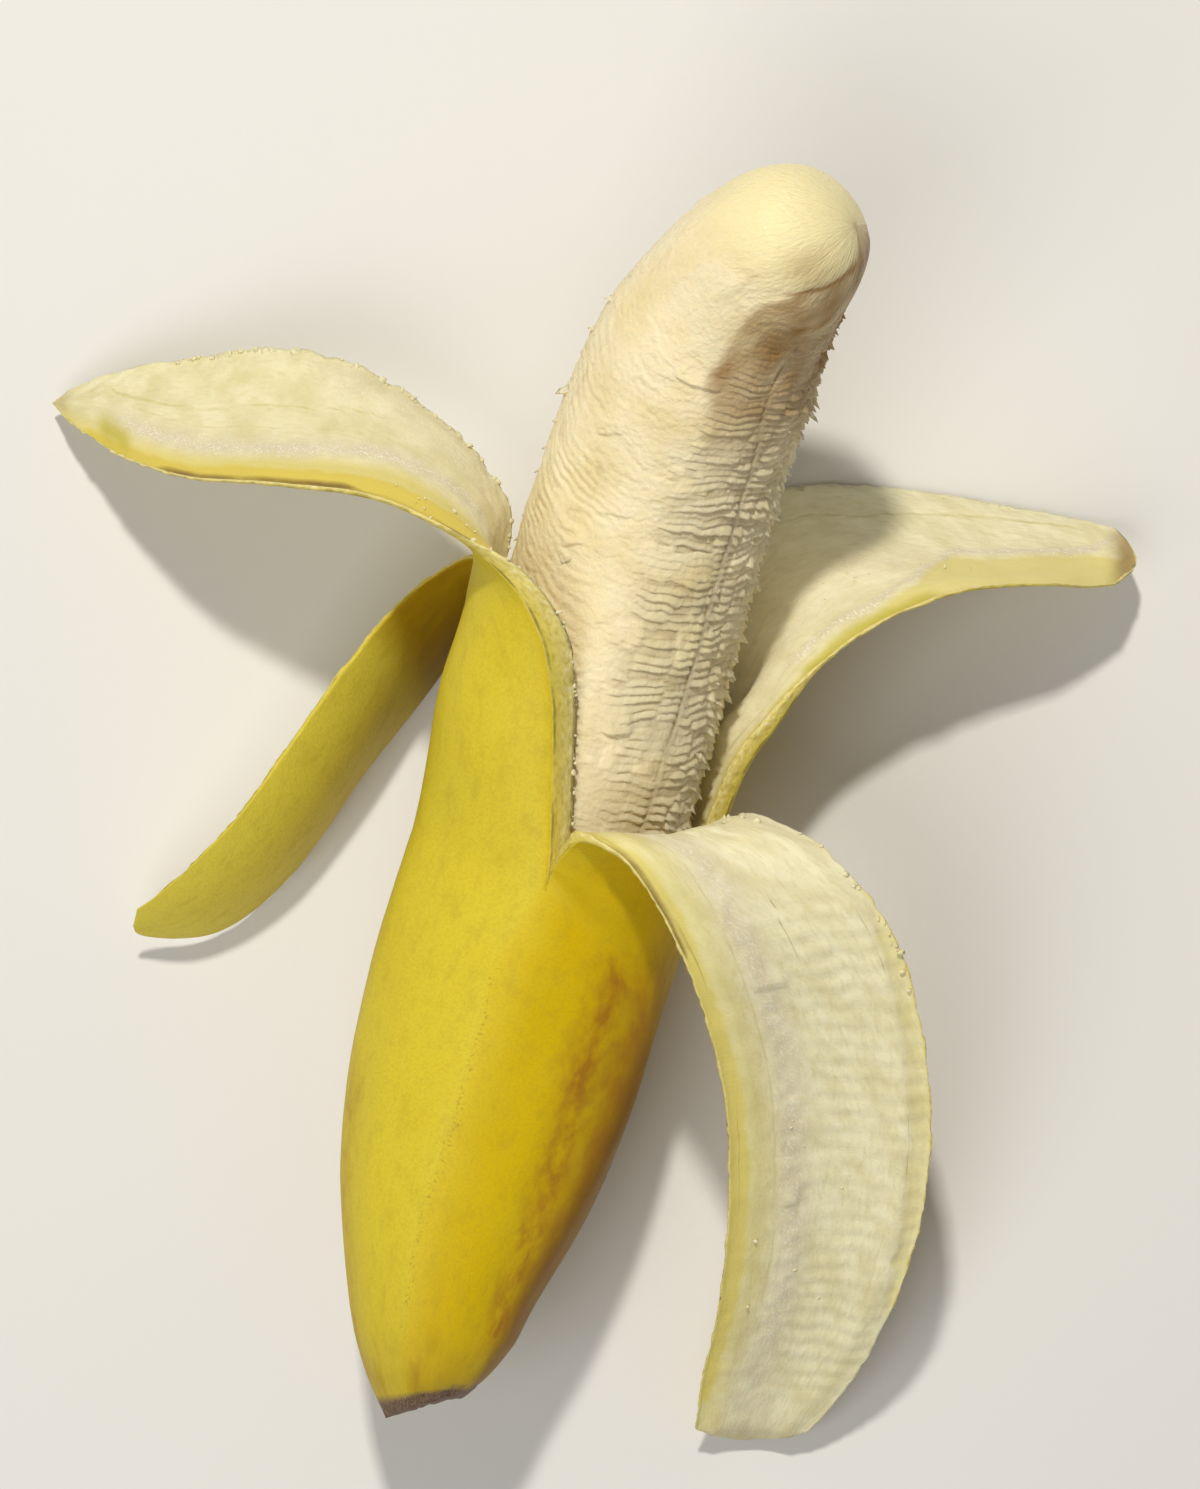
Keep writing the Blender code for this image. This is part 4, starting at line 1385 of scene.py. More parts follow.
    def mark_skin(self, mesh: bpy.types.Mesh, fields: Fields, tip: Array) -> None:
        """Notes the outside's marks and tones, some of them painted shade and light, and how much darker
        each strip's pith is by damp and painted shade, for the finishes to read.
        """
        bearing, height, past = fields.bearing, fields.height, fields.past_tear
        from_ridge = bearing_gap(bearing, curve(self.ridge_line, height))
        far = np.round(fields.gore) == STRIPS.index(BACK_LEFT)
        bruised, specked = self.spoils(bearing, height, from_ridge)
        green = np.maximum(self.STUB_GREEN.at(height), tip * self.TIP_GREEN)
        # the far strip's tip: partly its own yellow-green and partly painted light
        green = np.maximum(green, far * self.FAR_GREEN.at(past))
        write_points(mesh, "marks", np.stack([bruised, specked, green], axis=-1))
        damp = np.array([gore.strip.damp for gore in self.gores])[np.round(fields.gore).astype(int)]
        # facet: the right facet's deeper yellow, partly its own tone and partly painted shade; on the far
        # strip, painted shade on its upper part; on the pith, how much darker it is
        facet = np.where(far, self.FAR_FACET.at(past), self.facet(from_ridge))
        facet = np.where(fields.depth == 1, damp, facet)
        # shaded: painted shade down the cup's right side, darker blotches near the stub, and a painted
        # shadow on the far strip
        shaded = np.maximum(self.shade(bearing, height), far * self.FAR_SHADE.at(past))
        corky = ease((self.CORK_TOP + uneven(self.CORK_BORDER, bearing) - height) / self.CORK_FADE + 0.5)
        write_points(mesh, "tones", np.stack([facet, shaded, corky], axis=-1))

    def spoils(self, bearing: Array, height: Array, from_ridge: Array) -> tuple[Array, Array]:
        """How bruised the outside is, and how close it is to the specked ridge."""
        sway = self.BRUISE_SWAY.at(height)
        away = bearing_gap(bearing, curve(self.bruise_line, height)) + sway
        shares = (share * hump((away + aside) / spread) for share, aside, spread in self.BRUISES)
        bruised = np.maximum(*shares) * window(height, *self.BRUISE_SPAN)
        share, aside, spread = self.FAINT_BRUISE
        faint = share * hump((from_ridge - aside + sway) / spread) * window(height, *self.FAINT_SPAN)
        from_ridge = np.radians(from_ridge) * self.drum + self.SPECK_SWAY.at(height)
        specked = hump(from_ridge / self.SPECK_WIDTH) * window(height, *self.SPECK_SPAN)
        return np.maximum(bruised, faint), specked

    def facet(self, from_ridge: Array) -> Array:
        """How deep the yellow of the facet right of the ridge is, partly its own tone and partly painted
        shade, which parts softly underneath.
        """
        aside = np.sin(np.radians(from_ridge))
        crisp = self.FACET_SOFT + self.FACET_CRISP * ease(np.cos(np.radians(from_ridge)))
        parted, swelling = self.FACET_SHARES
        return parted * ease(0.5 - crisp * aside) + swelling * ease(-self.FACET_SWELL * aside)

    def shade(self, bearing: Array, height: Array) -> Array:
        """How dark the cup is: painted shade down its right side, and darker blotches and a darker end near
        the stub.
        """
        right, under, along = self.SIDE_SHADE
        side = right.at(bearing) * under.at(bearing) * along.at(height)
        blotch = self.BLOTCH_BASE + self.BLOTCH_RISE.at(self.BLOTCHES.at(bearing, height))
        return np.maximum(side, blotch * self.LOW_SHADE.at(height) + self.STUB_SHADE.at(height))


@dataclass(frozen=True)
class Ledge:
    """A sheet of the flesh's surface that ends in a sharp step towards the stub."""

    bearings: Pair  # of its two ends
    distances: Pair  # of its edge from the stub, at each end
    height: float
    reach: float  # over which it blends into the flesh above it


@dataclass
class Flesh:
    """The flesh: a ball drawn out along the fruit's middle line, with scaly furrows across it."""

    # Unevenness of the furrows, by the place on the straight flesh or by the distance and the way round
    WANDER = (Grain(1.1, 8, 1), Grain(0.34, (1.9, 1.9, 3.5), 2))
    SPLIT_SWAY, SPIKE_SWAY = Grain(1.1, (11, 9), 3), Grain(0.4, 3, 13)
    SHEETS = (Grain(1, (4.5, 4.5, 6), 6), Grain(0.3, 1.3, 7))
    CRUMBS, DENTS = Grain(1, 0.9, 9), Grain(1, (3, 3, 3.6), 12)
    SWELLS = Grain(0.2, (8, 8, 10), 8)
    SUTURE_SWAY, SIDE_SUTURE_SWAY = Grain(1.2, 7, 5), Grain(3, 15, 4)
    PATCHES = Grain(0.7, (26, 9), 10)
    # Where things hold: from, to and fade, in degrees round or in millimetres
    WIDE_SIDE, SOFT_SIDE, SPIKE_SIDE = (110, 200, 20), (104, 200, 22), (-60, 28, 14)
    PLAIN_SIDE, COVER_SIDE, SMOOTH_SIDE = (-70, 76, 14), (66, 150, 16), (122, 215, 14)
    SEAM, PALE_SIDE, DULL_SIDE = (0.15, 0.75, 0.35), (86, 116, 12), (20, 84, 14)
    LOW_STRETCH, LOW_MIDDLE, LOW_LEFT = (60, 100, 6), (60, 76, 6), (80, 160, 8)
    PLAIN_END, SMOOTH_END = Fade(1, 165, 10), Fade(1, 153, 10)
    # The lips: their form, and the scales and spikes that they break up into
    RISE = (9.0, 2.0)  # how far they climb towards the underside, on the left and on the right
    WIDE_PITCH = 0.25
    WIDE_SHARE = 0.5  # of the way round past the seam by which the scales there are wider
    BLOCK_LENGTH, BLOCK_STAGGER, BLOCK_SHIFT = 9, 0.37, 0.24  # blocks of scales lie out of step
    BLOCK_SEED, SIZE_SEED, SPIKE_SEED = 4, 5, 6
    SIZE_MEAN, SIZE_SPREAD = 0.8, 0.6
    BREAK_FLOOR, BREAK_WIDTH = 0.55, 0.14  # how high a lip is where it breaks, and how wide the break is
    LIP_RISE, LIP_FALL, SOFT_SHARE, SOFT_HEIGHT = 0.16, 0.8, 0.85, 0.4
    SPIKE_PITCH, SPIKE_WIDTH, SPIKE_HEIGHT, SPIKE_REST = 1.15, 0.28, 1.3, 0.2
    SPIKE_FROM, SPIKE_RANGE = 0.5, 0.4  # draws from which a spike stands, and over which it gets higher
    LIP_MEAN = 0.4  # the level about which the lips rise and fall
    # The sheets, sutures and seam, and what they do to the furrows
    SHEET_EDGE = Fade(1, 0.12, 0.07)
    SHEET_CALM, SMOOTH_CALM, SEAM_CALM, GROOVE_CALM = 0.5, 0.6, 0.85, 0.7
    SHEET_HEIGHT, SHEET_MORE, CRUMB_HEIGHT, DENT_HEIGHT, TIP_SWELL = 0.04, 0.09, 0.05, 0.2, 0.22
    GROOVE_WIDTH, GROOVE_MEAN, GROOVE_FLOOR, GROOVE_DEPTH = 0.2, 0.7, 0.15, 0.22
    GROOVE_SWAY = Grain(0.7, 1.6, 19)
    DIP_ASIDE, DIP_WIDTH, DIP_DEPTH, SIDE_GROOVE_WIDTH, SIDE_DIP_WIDTH = 0.5, 2.2, 0.22, 0.5, 2.4
    SHOWN_WAY = 8  # over which the relief sets in where the flesh is bared
    LEAN_END = (12, 6)  # how far from the tip the lips stop to lean, and over which way
    PATCH_MEAN, PATCH_RANGE = 0.9, (0.25, 1.35)
    LOW_SHARES = (0.35, 0.75)  # how much lower the furrows are near the cup, in the middle and on the left
    # Crests, as the finish reads them: it paints shade where a point lies low on its lip and in the grooves
    FLAT_CREST, CREST_FLOOR, CREST_SPAN, CREST_FULL, TIP_CREST = 0.68, 0.25, 0.75, 0.5, 0.7
    CREST_SHEET, CREST_CRUMB, CREST_GROOVE, CREST_LEDGE = 0.12, 0.08, 0.8, 0.3
    # Painted shade in the valley beside the main groove, and grey on the right belt
    DULL_SUTURE, DULL_RIGHT = 0.4, 0.35
    # Ledges
    LEDGE_RAG, LEDGE_SIDE_RAG = (Grain(0.28, 3.2, 14), Grain(0.35, 9, 15)), Grain(1.2, 0.8, 16)
    LEDGE_SKEW, LEDGE_STEP, LEDGE_START, LEDGE_END = 1.07, 0.22, 1.5, 5
    # The tip: its smooth cap, the dark rim line under it, and painted shade: an ochre patch on the tip's
    # lower right and a broad brown patch below the rim
    BORDER_SWAY, CRISP_SIDE = Grain(0.5, 12, 18), (82, 116, 10)
    SOFT_BORDERS, SOFT_BORDER_SIDE, CRISP_BORDER, BORDER_SHIFT = (5.0, 2.5), (-60, 90, 15), 1.0, 0.3
    RIM_LINE, RIM_SIDE = (0.9, 0.4, 0.7), (70, 112, 8)  # strength, millimetres before the border, width
    OCHRE, OCHRE_SIDE = (0.36, 178.3, 2.6), (102, 130, 26)
    BROWN_EDGE = (140, 147.7, 153, 157, 164.6, 171), (80, 90.5, 95.5, 102, 105, 113)  # distances, bearings
    BROWN_SWAY, BROWN_PATCHES = (Grain(4, 4, 28), Grain(2.5, 1.4, 29)), Grain(0.4, (3, 11), 20)
    BROWN, BROWN_FADE, BROWN_START, BROWN_WAY, BROWN_MEAN = 0.85, 8, 162, 24, 0.8

    name: str = "banana_flesh"
    node: str = "flesh"
    columns: int = 176
    crowding: Pair = (0.35, 0.15)  # how much closer together the columns lie on the sides that show
    hidden_rows: int = 20  # inside the cup
    bared_rows: int = 480
    bared: float = 72.0  # distance from the stub at which the fine rows start
    foot_rows: int = 5
    dome_rows: int = 26  # over the tip
    drum: float = 16.0  # radius of the straight flesh that patterns are laid out on
    pitch: float = 1.28  # of the furrows
    column: float = 3.1  # mean width of the scales across which the furrows break off
    wide_from: float = 17.0  # millimetres round from the right side, past which they are wider
    lean: float = 0.45  # how far the scales' lips lean towards the stub, for each millimetre of height
    main_suture: tuple[Pair, ...] = ((84, 53), (135, 52.5), (144, 55), (152, 62), (158, 66), (168, 64))
    side_sutures: tuple[Pair, ...] = ((166, 0.15), (286, 1.0))  # bearing, and how deep
    strengths: tuple[Pair, ...] = (  # bearing, and the furrows' height there
        (-180, 0.3), (-90, 0.4), (-50, 0.7), (20, 0.95), (48, 0.8), (58, 0.5), (80, 0.3), (95, 0.22),
        (108, 0.15), (120, 0.17), (140, 0.24), (180, 0.28),
    )
    tip_border: tuple[Pair, ...] = (  # bearing, and where the smooth tip starts there
        (-90, 170), (-50, 176), (-25, 181.6), (60, 182), (80, 181.2), (92, 179.7), (110, 177.3),
        (116, 175.6), (125, 173.8), (140, 173), (156, 170.5), (177, 168.5), (200, 168), (235, 168.5),
        (270, 170),
    )
    ledges: tuple[Ledge, ...] = (
        Ledge((73, 88), (100.2, 99.1), 0.6, 6.0), Ledge((92, 118), (155.4, 153.9), 0.4, 4.0),
        Ledge((96, 108), (115.2, 114.2), 0.2, 6.0), Ledge((104, 122), (131, 129.5), 0.2, 6.0),
        Ledge((60, 74), (143.5, 144.2), 0.25, 4.0), Ledge((56, 68), (94.2, 94.8), 0.2, 5.0),
        Ledge((122, 136), (124.5, 122.5), 0.3, 4.0), Ledge((124, 140), (142, 139.5), 0.22, 5.0),
    )

    def build(self) -> bpy.types.Object:
        """Models and dresses the flesh."""
        bm = bmesh.new()
        rings = len(self.ring_heights()) - 1
        bmesh.ops.create_uvsphere(bm, u_segments=self.columns, v_segments=rings, radius=1)
        ball = np.array([vert.co for vert in bm.verts])
        ring = np.round(np.arccos(np.clip(-ball[:, 2], -1, 1)) / np.pi * rings).astype(int)
        turn = bearing_gap(np.degrees(np.arctan2(ball[:, 1], ball[:, 0])), 90) * np.pi / 180
        turn = turn - self.crowding[0] * np.sin(turn) + self.crowding[1] * np.sin(2 * turn) / 2
        bearing = bearing_gap(90 + np.degrees(turn), 0)
        distance = self.ring_heights()[ring]
        relief, marks, dull = self.relief(bearing, distance)
        radius = ((ring > 0) & (ring < rings)) * (FRUIT.flesh_radius(distance) + relief)
        free, way = self.LEAN_END
        lean = self.lean * np.maximum(relief, 0) * ease((FRUIT.length - free - distance) / way)
        level = distance - lean
        points = FRUIT.around(bearing, level, radius)
        for vert, point in zip(bm.verts, points):
            vert.co = point * MM
        face_outwards(bm)
        piece = fill_mesh(self.name, bm, (MoistFlesh(),))
        write_points(piece.data, "straight", np.stack(self.laid_out(bearing, distance), axis=-1))
        write_points(piece.data, "flesh_marks", marks)
        write_points(piece.data, "dull", dull)
        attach(piece, BODY)
        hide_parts(self.node)
        return piece

    def ring_heights(self) -> Array:
        """Distances of its rings: wide apart inside the cup, and closest over the domes."""
        turn = np.linspace(0, np.pi / 2, self.foot_rows, endpoint=False)
        foot = FRUIT.foot + FRUIT.foot_dome * (1 - np.cos(turn))
        hidden = np.linspace(FRUIT.foot + FRUIT.foot_dome, self.bared, self.hidden_rows, endpoint=False)
        bared = np.linspace(self.bared, FRUIT.length - FRUIT.tip_dome, self.bared_rows, endpoint=False)
        turn = np.linspace(0, np.pi / 2, self.dome_rows + 1)
        tip = FRUIT.length - FRUIT.tip_dome * (1 - np.sin(turn))
        return np.concatenate([foot, hidden, bared, tip])

    def relief(self, bearing: Array, distance: Array) -> tuple[Array, Array, Array]:
        """Works out the relief of the flesh.

        Args:
            bearing: Bearings of the points.
            distance: Their distances from the stub.

        Returns:
            Heights above the plain form. For the finish: how high on a crest a point lies, which sets the
            painted shade in the furrows, how far it is on the smooth tip, and the dark rim line with the
            painted shade under the tip. Last, how grey it is, with painted shade in the valley by the main
            groove.
        """
        place = self.laid_out(bearing, distance)
        gloss, rimmed = self.tip_marks(bearing, distance)
        rough = (1 - gloss) * (1 - window(bearing, *self.PLAIN_SIDE) * self.PLAIN_END.at(distance))
        sheet = self.SHEET_EDGE.at(uneven(self.SHEETS, *place))
        cover = window(bearing, *self.COVER_SIDE)  # where sheets lie over the furrows
        smooth = window(bearing, *self.SMOOTH_SIDE) * self.SMOOTH_END.at(distance)
        strength = self.strength(bearing, distance) * (1 - self.SHEET_CALM * sheet * cover)
        strength = strength * (1 - self.SMOOTH_CALM * smooth)
        middle = curve(self.main_suture, distance) + self.SUTURE_SWAY.at(distance)
        gap = np.radians(bearing_gap(bearing, middle)) * self.drum
        beside = window(-gap, *self.SEAM)  # the smooth seam right of the main groove
        strength = strength * (1 - self.SEAM_CALM * beside)
        lip = self.lips(bearing, distance)
        groove = np.clip(self.GROOVE_MEAN + self.GROOVE_SWAY.at(distance), self.GROOVE_FLOOR, 1)
        groove = hump(gap / self.GROOVE_WIDTH) * groove
        dip = hump((gap + self.DIP_ASIDE) / self.DIP_WIDTH)
        for centre, depth in self.side_sutures:
            away = bearing_gap(bearing, centre + self.SIDE_SUTURE_SWAY.at(distance))
            away = np.radians(away) * self.drum
            groove = groove + depth * hump(away / self.SIDE_GROOVE_WIDTH)
            dip = dip + depth * hump(away / self.SIDE_DIP_WIDTH)
        crumbs, ledge = self.CRUMBS.at(*place), self.ledge_height(bearing, distance)
        height = strength * (lip - self.LIP_MEAN) * (1 - self.GROOVE_CALM * groove)
        height = height - self.GROOVE_DEPTH * groove - self.DIP_DEPTH * dip
        height = height + (self.SHEET_HEIGHT + self.SHEET_MORE * cover) * sheet + self.CRUMB_HEIGHT * crumbs
        height = height + ledge + self.DENT_HEIGHT * smooth * self.DENTS.at(*place)
        swell = self.TIP_SWELL * gloss * window(bearing, *self.PALE_SIDE)
        height = height * rough + self.SWELLS.at(*place) + swell
        # crest: how high on a lip a point lies; the finish paints shade where it is low, in the grooves, and
        # lightens the ledges
        bold = np.clip(strength / self.CREST_FULL, 0, 1)
        crest = mix((self.FLAT_CREST, self.CREST_FLOOR + self.CREST_SPAN * lip), bold)
        crest = crest + self.CREST_SHEET * (sheet - 0.5) * cover + self.CREST_CRUMB * crumbs
        crest = crest - self.CREST_GROOVE * groove + self.CREST_LEDGE * ledge
        crest = np.clip(mix((crest, self.TIP_CREST), gloss), 0, 1)
        # painted shade in the valley beside the main groove, and grey on the right belt
        dull = self.DULL_SUTURE * hump(gap + self.DIP_ASIDE)
        dull = (dull + self.DULL_RIGHT * window(bearing, *self.DULL_SIDE) * (1 - sheet)) * rough
        height = height * ease((distance - self.bared) / self.SHOWN_WAY)
        return height, np.stack([crest, gloss, rimmed], axis=-1), np.clip(dull, 0, 1)

    def laid_out(self, bearing: Array, distance: Array) -> tuple[Array, Array, Array]:
        """Coordinates on the straight flesh that patterns are laid out on."""
        angle = np.radians(bearing)
        return self.drum * np.cos(angle), self.drum * np.sin(angle), distance

    def lips(self, bearing: Array, distance: Array) -> Array:
        """Works out the scaly lips across the flesh.

        Args:
            bearing: Bearings of the points.
            distance: Their distances from the stub.

        Returns:
            How high each point is on its lip, about 0 to 1.
        """
        around = np.radians(bearing) * self.drum
        side = bearing_gap(bearing, 90)
        rise = np.where(side > 0, *self.RISE) * (1 - np.cos(np.radians(side)))
        wide = np.maximum(around - self.wide_from, 0)  # left of the seam the scales are wider
        split = (around - self.WIDE_SHARE * wide) / self.column + self.SPLIT_SWAY.at(distance, around)
        column = np.floor(split)
        row = np.floor(distance / self.BLOCK_LENGTH + self.BLOCK_STAGGER * column)
        block = np.stack([column, row, np.zeros_like(column)], axis=-1).astype(np.int64)
        pitch = self.pitch * (1 + self.WIDE_PITCH * window(bearing, *self.WIDE_SIDE))
        phase = (distance - rise) / pitch + uneven(self.WANDER, *self.laid_out(bearing, distance))
        phase = phase + self.BLOCK_SHIFT * scatter(block, self.BLOCK_SEED)
        rib = np.floor(phase)
        saw = phase - rib  # the share of the way from lip to lip
        cell = np.stack([column, rib, np.ones_like(rib)], axis=-1).astype(np.int64)
        size = self.SIZE_MEAN + self.SIZE_SPREAD * scatter(cell, self.SIZE_SEED)
        within = split - column
        whole = ease(np.minimum(within, 1 - within) / self.BREAK_WIDTH)
        broken = self.BREAK_FLOOR + (1 - self.BREAK_FLOOR) * whole
        soft = self.SOFT_SHARE * window(bearing, *self.SOFT_SIDE)  # the left side's folds are rounded
        sharp = ease(saw / self.LIP_RISE) * (1 - saw) ** self.LIP_FALL
        lip = mix((sharp, self.SOFT_HEIGHT - self.SOFT_HEIGHT * np.cos(2 * np.pi * saw)), soft)
        tooth = around / self.SPIKE_PITCH + self.SPIKE_SWAY.at(distance)
        cell = np.stack([np.floor(tooth), rib, np.full_like(rib, 2)], axis=-1).astype(np.int64)
        spike = np.clip((scatter(cell, self.SPIKE_SEED) - self.SPIKE_FROM) / self.SPIKE_RANGE, 0, 1)
        spike = spike * hump((tooth - np.floor(tooth) - 0.5) / self.SPIKE_WIDTH)
        spike = spike * (window(bearing, *self.SPIKE_SIDE) + self.SPIKE_REST) * (1 - soft)
        return lip * (size * broken + self.SPIKE_HEIGHT * spike)

    def ledge_height(self, bearing: Array, distance: Array) -> Array:
        """How high the ledges stand."""
        total = np.zeros(len(bearing))
        ragged = uneven(self.LEDGE_RAG, bearing)
        sides = self.LEDGE_SIDE_RAG.at(distance)
        for ledge in self.ledges:
            start, end = ledge.bearings
            share = (bearing - start) / (end - start)
            past = distance - mix(ledge.distances, np.clip(share, 0, 1)) + ragged
            skewed = bearing - self.LEDGE_SKEW * np.maximum(past, 0) + sides
            step = ease(past / self.LEDGE_STEP) * ease(1 - past / ledge.reach)
            rise = ledge.height * step * ease((skewed - start) / self.LEDGE_START)
            total = np.maximum(total, rise * ease((end - skewed) / self.LEDGE_END))
        return total

    def strength(self, bearing: Array, distance: Array) -> Array:
        """How high the furrows' crests are: bold on the right, faint along the top, clear on the left."""
        bold = np.interp(bearing, *zip(*self.strengths))
        patchy = self.PATCH_MEAN + self.PATCHES.at(bearing, distance)
        middle, left = self.LOW_SHARES
        low = mix((middle * window(bearing, *self.LOW_MIDDLE), left), window(bearing, *self.LOW_LEFT))
        return bold * np.clip(patchy, *self.PATCH_RANGE) * (1 - window(distance, *self.LOW_STRETCH) * low)

    def tip_marks(self, bearing: Array, distance: Array) -> tuple[Array, Array]:
        """1 on the smooth tip, and the dark rim line under its right side with the painted shade of ochre
        and brown around it.
        """
        turn = bearing_gap(bearing, 90) + 90  # from -90 to 270
        border = np.interp(turn, *zip(*self.tip_border)) + self.BORDER_SWAY.at(turn)
        soft = mix(self.SOFT_BORDERS, window(turn, *self.SOFT_BORDER_SIDE))
        fade = mix((soft, self.CRISP_BORDER), window(turn, *self.CRISP_SIDE))
        gloss = ease((distance - border) / fade + self.BORDER_SHIFT)
        share, before, width = self.RIM_LINE
        line = share * hump((distance - border + before) / width) * window(turn, *self.RIM_SIDE)
        # Painted shade: ochre on the lower right of the tip
        share, middle, width = self.OCHRE
        ochre = share * hump((distance - middle) / width) * window(turn, *self.OCHRE_SIDE)
        # Painted shade: a broad brown patch below the rim, right of a slanting border
        right_of = np.interp(distance, *self.BROWN_EDGE) + uneven(self.BROWN_SWAY, distance)
        brown = self.BROWN * ease((right_of - turn) / self.BROWN_FADE + 0.5)
        brown = brown * window(distance, self.BROWN_START, border, self.BROWN_WAY) * (1 - gloss)
        brown = brown * (self.BROWN_MEAN + self.BROWN_PATCHES.at(distance, turn))
        return gloss, np.clip(np.maximum(np.maximum(line, ochre), brown), 0, 1)


@dataclass(frozen=True)
class Scale:
    """A thin scrap that stands off a surface: its free end, its size and how far it is lifted."""

    root: Array  # middle of its fixed edge
    across: Array  # along that edge
    ahead: Array  # from that edge to the free end
    out: Array  # away from the surface
    width: float
    length: float
    lift: float  # degrees
    curl: float  # how much more its end is bent up, as a share of its length
    seed: int


@dataclass
class Scrap:
    """Draws scrap after scrap, each a closed, ragged sheet."""

    EDGE_WAVE, EDGE_WAVE_PITCH = 0.45, 5  # its free end is uneven
    EDGE_ROUND = 1.6  # and its corners fall back
    TAPER, SIDE_WAVE, SIDE_WAVE_PITCH = 0.5, 0.25, 4  # it narrows towards that end, unevenly
    WARP, WARP_PITCH = 0.12, 3  # and it is warped

    columns: int = 6
    rows: int = 5
    wall: float = 0.14

    def add(self, bm: bmesh.types.BMesh, scale: Scale) -> None:
        """Adds one closed, ragged scrap to a bmesh."""
        grid = bmesh.ops.create_grid(bm, x_segments=self.columns, y_segments=self.rows, size=1)["verts"]
        share = np.array([vert.co[:2] for vert in grid]) / 2 + 0.5
        side, run = share[:, 0] - 0.5, share[:, 1]
        wave = self.EDGE_WAVE * noise(side * self.EDGE_WAVE_PITCH, seed=scale.seed)
        torn = 1 + (wave - self.EDGE_ROUND * side**2) * run
        wave = self.SIDE_WAVE * noise(run * self.SIDE_WAVE_PITCH, np.sign(side), seed=scale.seed + 2)
        taper = 1 - self.TAPER * run**2 + wave
        lift = math.radians(scale.lift)
        along = run * scale.length * torn
        rise = along * math.sin(lift) + scale.curl * scale.length * run**2
        warp = self.WARP * noise(side * self.WARP_PITCH, run * self.WARP_PITCH, seed=scale.seed + 1)
        rise = rise + warp * scale.width
        points = (
            scale.root + scale.across * (side * scale.width * taper)[:, None]
            + scale.ahead * (along * math.cos(lift))[:, None] + scale.out * rise[:, None]
        )
        for vert, point in zip(grid, points):
            vert.co = point * MM
        faces = list({face for vert in grid for face in vert.link_faces})
        drawn = bmesh.ops.extrude_face_region(bm, geom=faces, use_keep_orig=True)["geom"]
        wall = (unit(np.cross(scale.across, scale.ahead)) * self.wall * MM).tolist()
        sheet = [vert for vert in drawn if isinstance(vert, bmesh.types.BMVert)]
        bmesh.ops.translate(bm, verts=sheet, vec=Vector(wall))


@dataclass
class FleshScales:
    """Thin scales of the flesh that stand off it, mostly along its right side."""

    name: str = "flesh_scales"
    seed: int = 4
    first_seed: int = 300  # of the scales' own raggedness
    sunk: float = 0.35  # how deep their fixed edges are rooted
    stretch: Pair = (86, 158)  # distances from the stub between which the fringes grow
    widths: Pair = (0.5, 1.7)
    lengths: Pair = (0.5, 1.2)
    curl: float = 0.15
    fringes: tuple[tuple[int, float, float, Pair], ...] = (  # how many, bearing, its spread, how far lifted
        (70, 2, 13, (38, 72)), (26, 192, 9, (30, 60)), (34, 105, 34, (4, 14)),
    )
    large: tuple[tuple[float, ...], ...] = (  # bearing, distance, width, length, lift, curl
        (17, 134.5, 5.8, 2.4, 34, 0.25), (11, 149.5, 1.9, 1.9, 42, 0.5), (14, 146, 1.6, 1.4, 46, 0.2),
        (184, 140.5, 3.4, 2.2, 30, 0.3), (130, 122.5, 2.6, 2.0, 9, 0.05), (30, 99, 2.4, 1.7, 34, 0.2),
        (22, 106, 2.2, 1.6, 38, 0.2), (103, 155.5, 2.8, 1.6, 16, 0.1), (95, 156, 1.8, 1.4, 22, 0.1),
        (6, 122, 2.2, 1.8, 45, 0.2), (4, 117, 1.6, 1.5, 50, 0.2), (189, 153, 1.6, 1.5, 45, 0.2),
    )

    def build(self) -> bpy.types.Object:
        """Models and dresses the scales."""
        bm = bmesh.new()
        scrap = Scrap()
        for scale in self.scales():
            scrap.add(bm, scale)
        face_outwards(bm)
        piece = fill_mesh(self.name, bm, (MoistFlesh("banana flesh, dry scales"),))
        mark_evenly(piece.data, {"flesh_marks": (0.75, 0.0, 0.0), "dull": 0.0})
        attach(piece, BODY)
        return piece

    def scales(self) -> list[Scale]:
        """Places the scales: fringes by a seeded rule, and a few large ones as listed."""
        draw = np.random.default_rng(self.seed)
        placed = []
        for count, middle, spread, lifts in self.fringes:
            for _ in range(count):
                bearing, distance = draw.normal(middle, spread), draw.uniform(*self.stretch)
                width, length = draw.uniform(*self.widths), draw.uniform(*self.lengths)
                spec = (bearing, distance, width, length, draw.uniform(*lifts), self.curl)
                placed.append(self.scale(*spec, len(placed)))
        for spec in self.large:
            placed.append(self.scale(*spec, len(placed)))
        return placed

    def scale(
        self, bearing: float, distance: float, width: float, length: float, lift: float, curl: float,
        number: int,
    ) -> Scale:
        """Sets one scale on the flesh, with its free end towards the stub."""
        spot = np.array([bearing]), np.array([distance])
        out = FRUIT.outwards(*spot)[0]
        heading = FRUIT.course.heading(spot[1])[0]
        across = unit(np.cross(heading, out))
        root = FRUIT.around(spot[0], spot[1], FRUIT.flesh_radius(spot[1]) - self.sunk)[0]
        seed = self.first_seed + 2 * number
        return Scale(root, across, -heading, out, width, length, lift, curl, seed)


@dataclass(frozen=True)
class Sprinkle:
    """A stretch of a torn edge to which crumbs cling."""

    strip: int  # its number
    sides: Pair  # shares of the strip's width between which they lie
    along: Pair  # millimetres past the tear
    count: int
    sizes: Pair  # radius


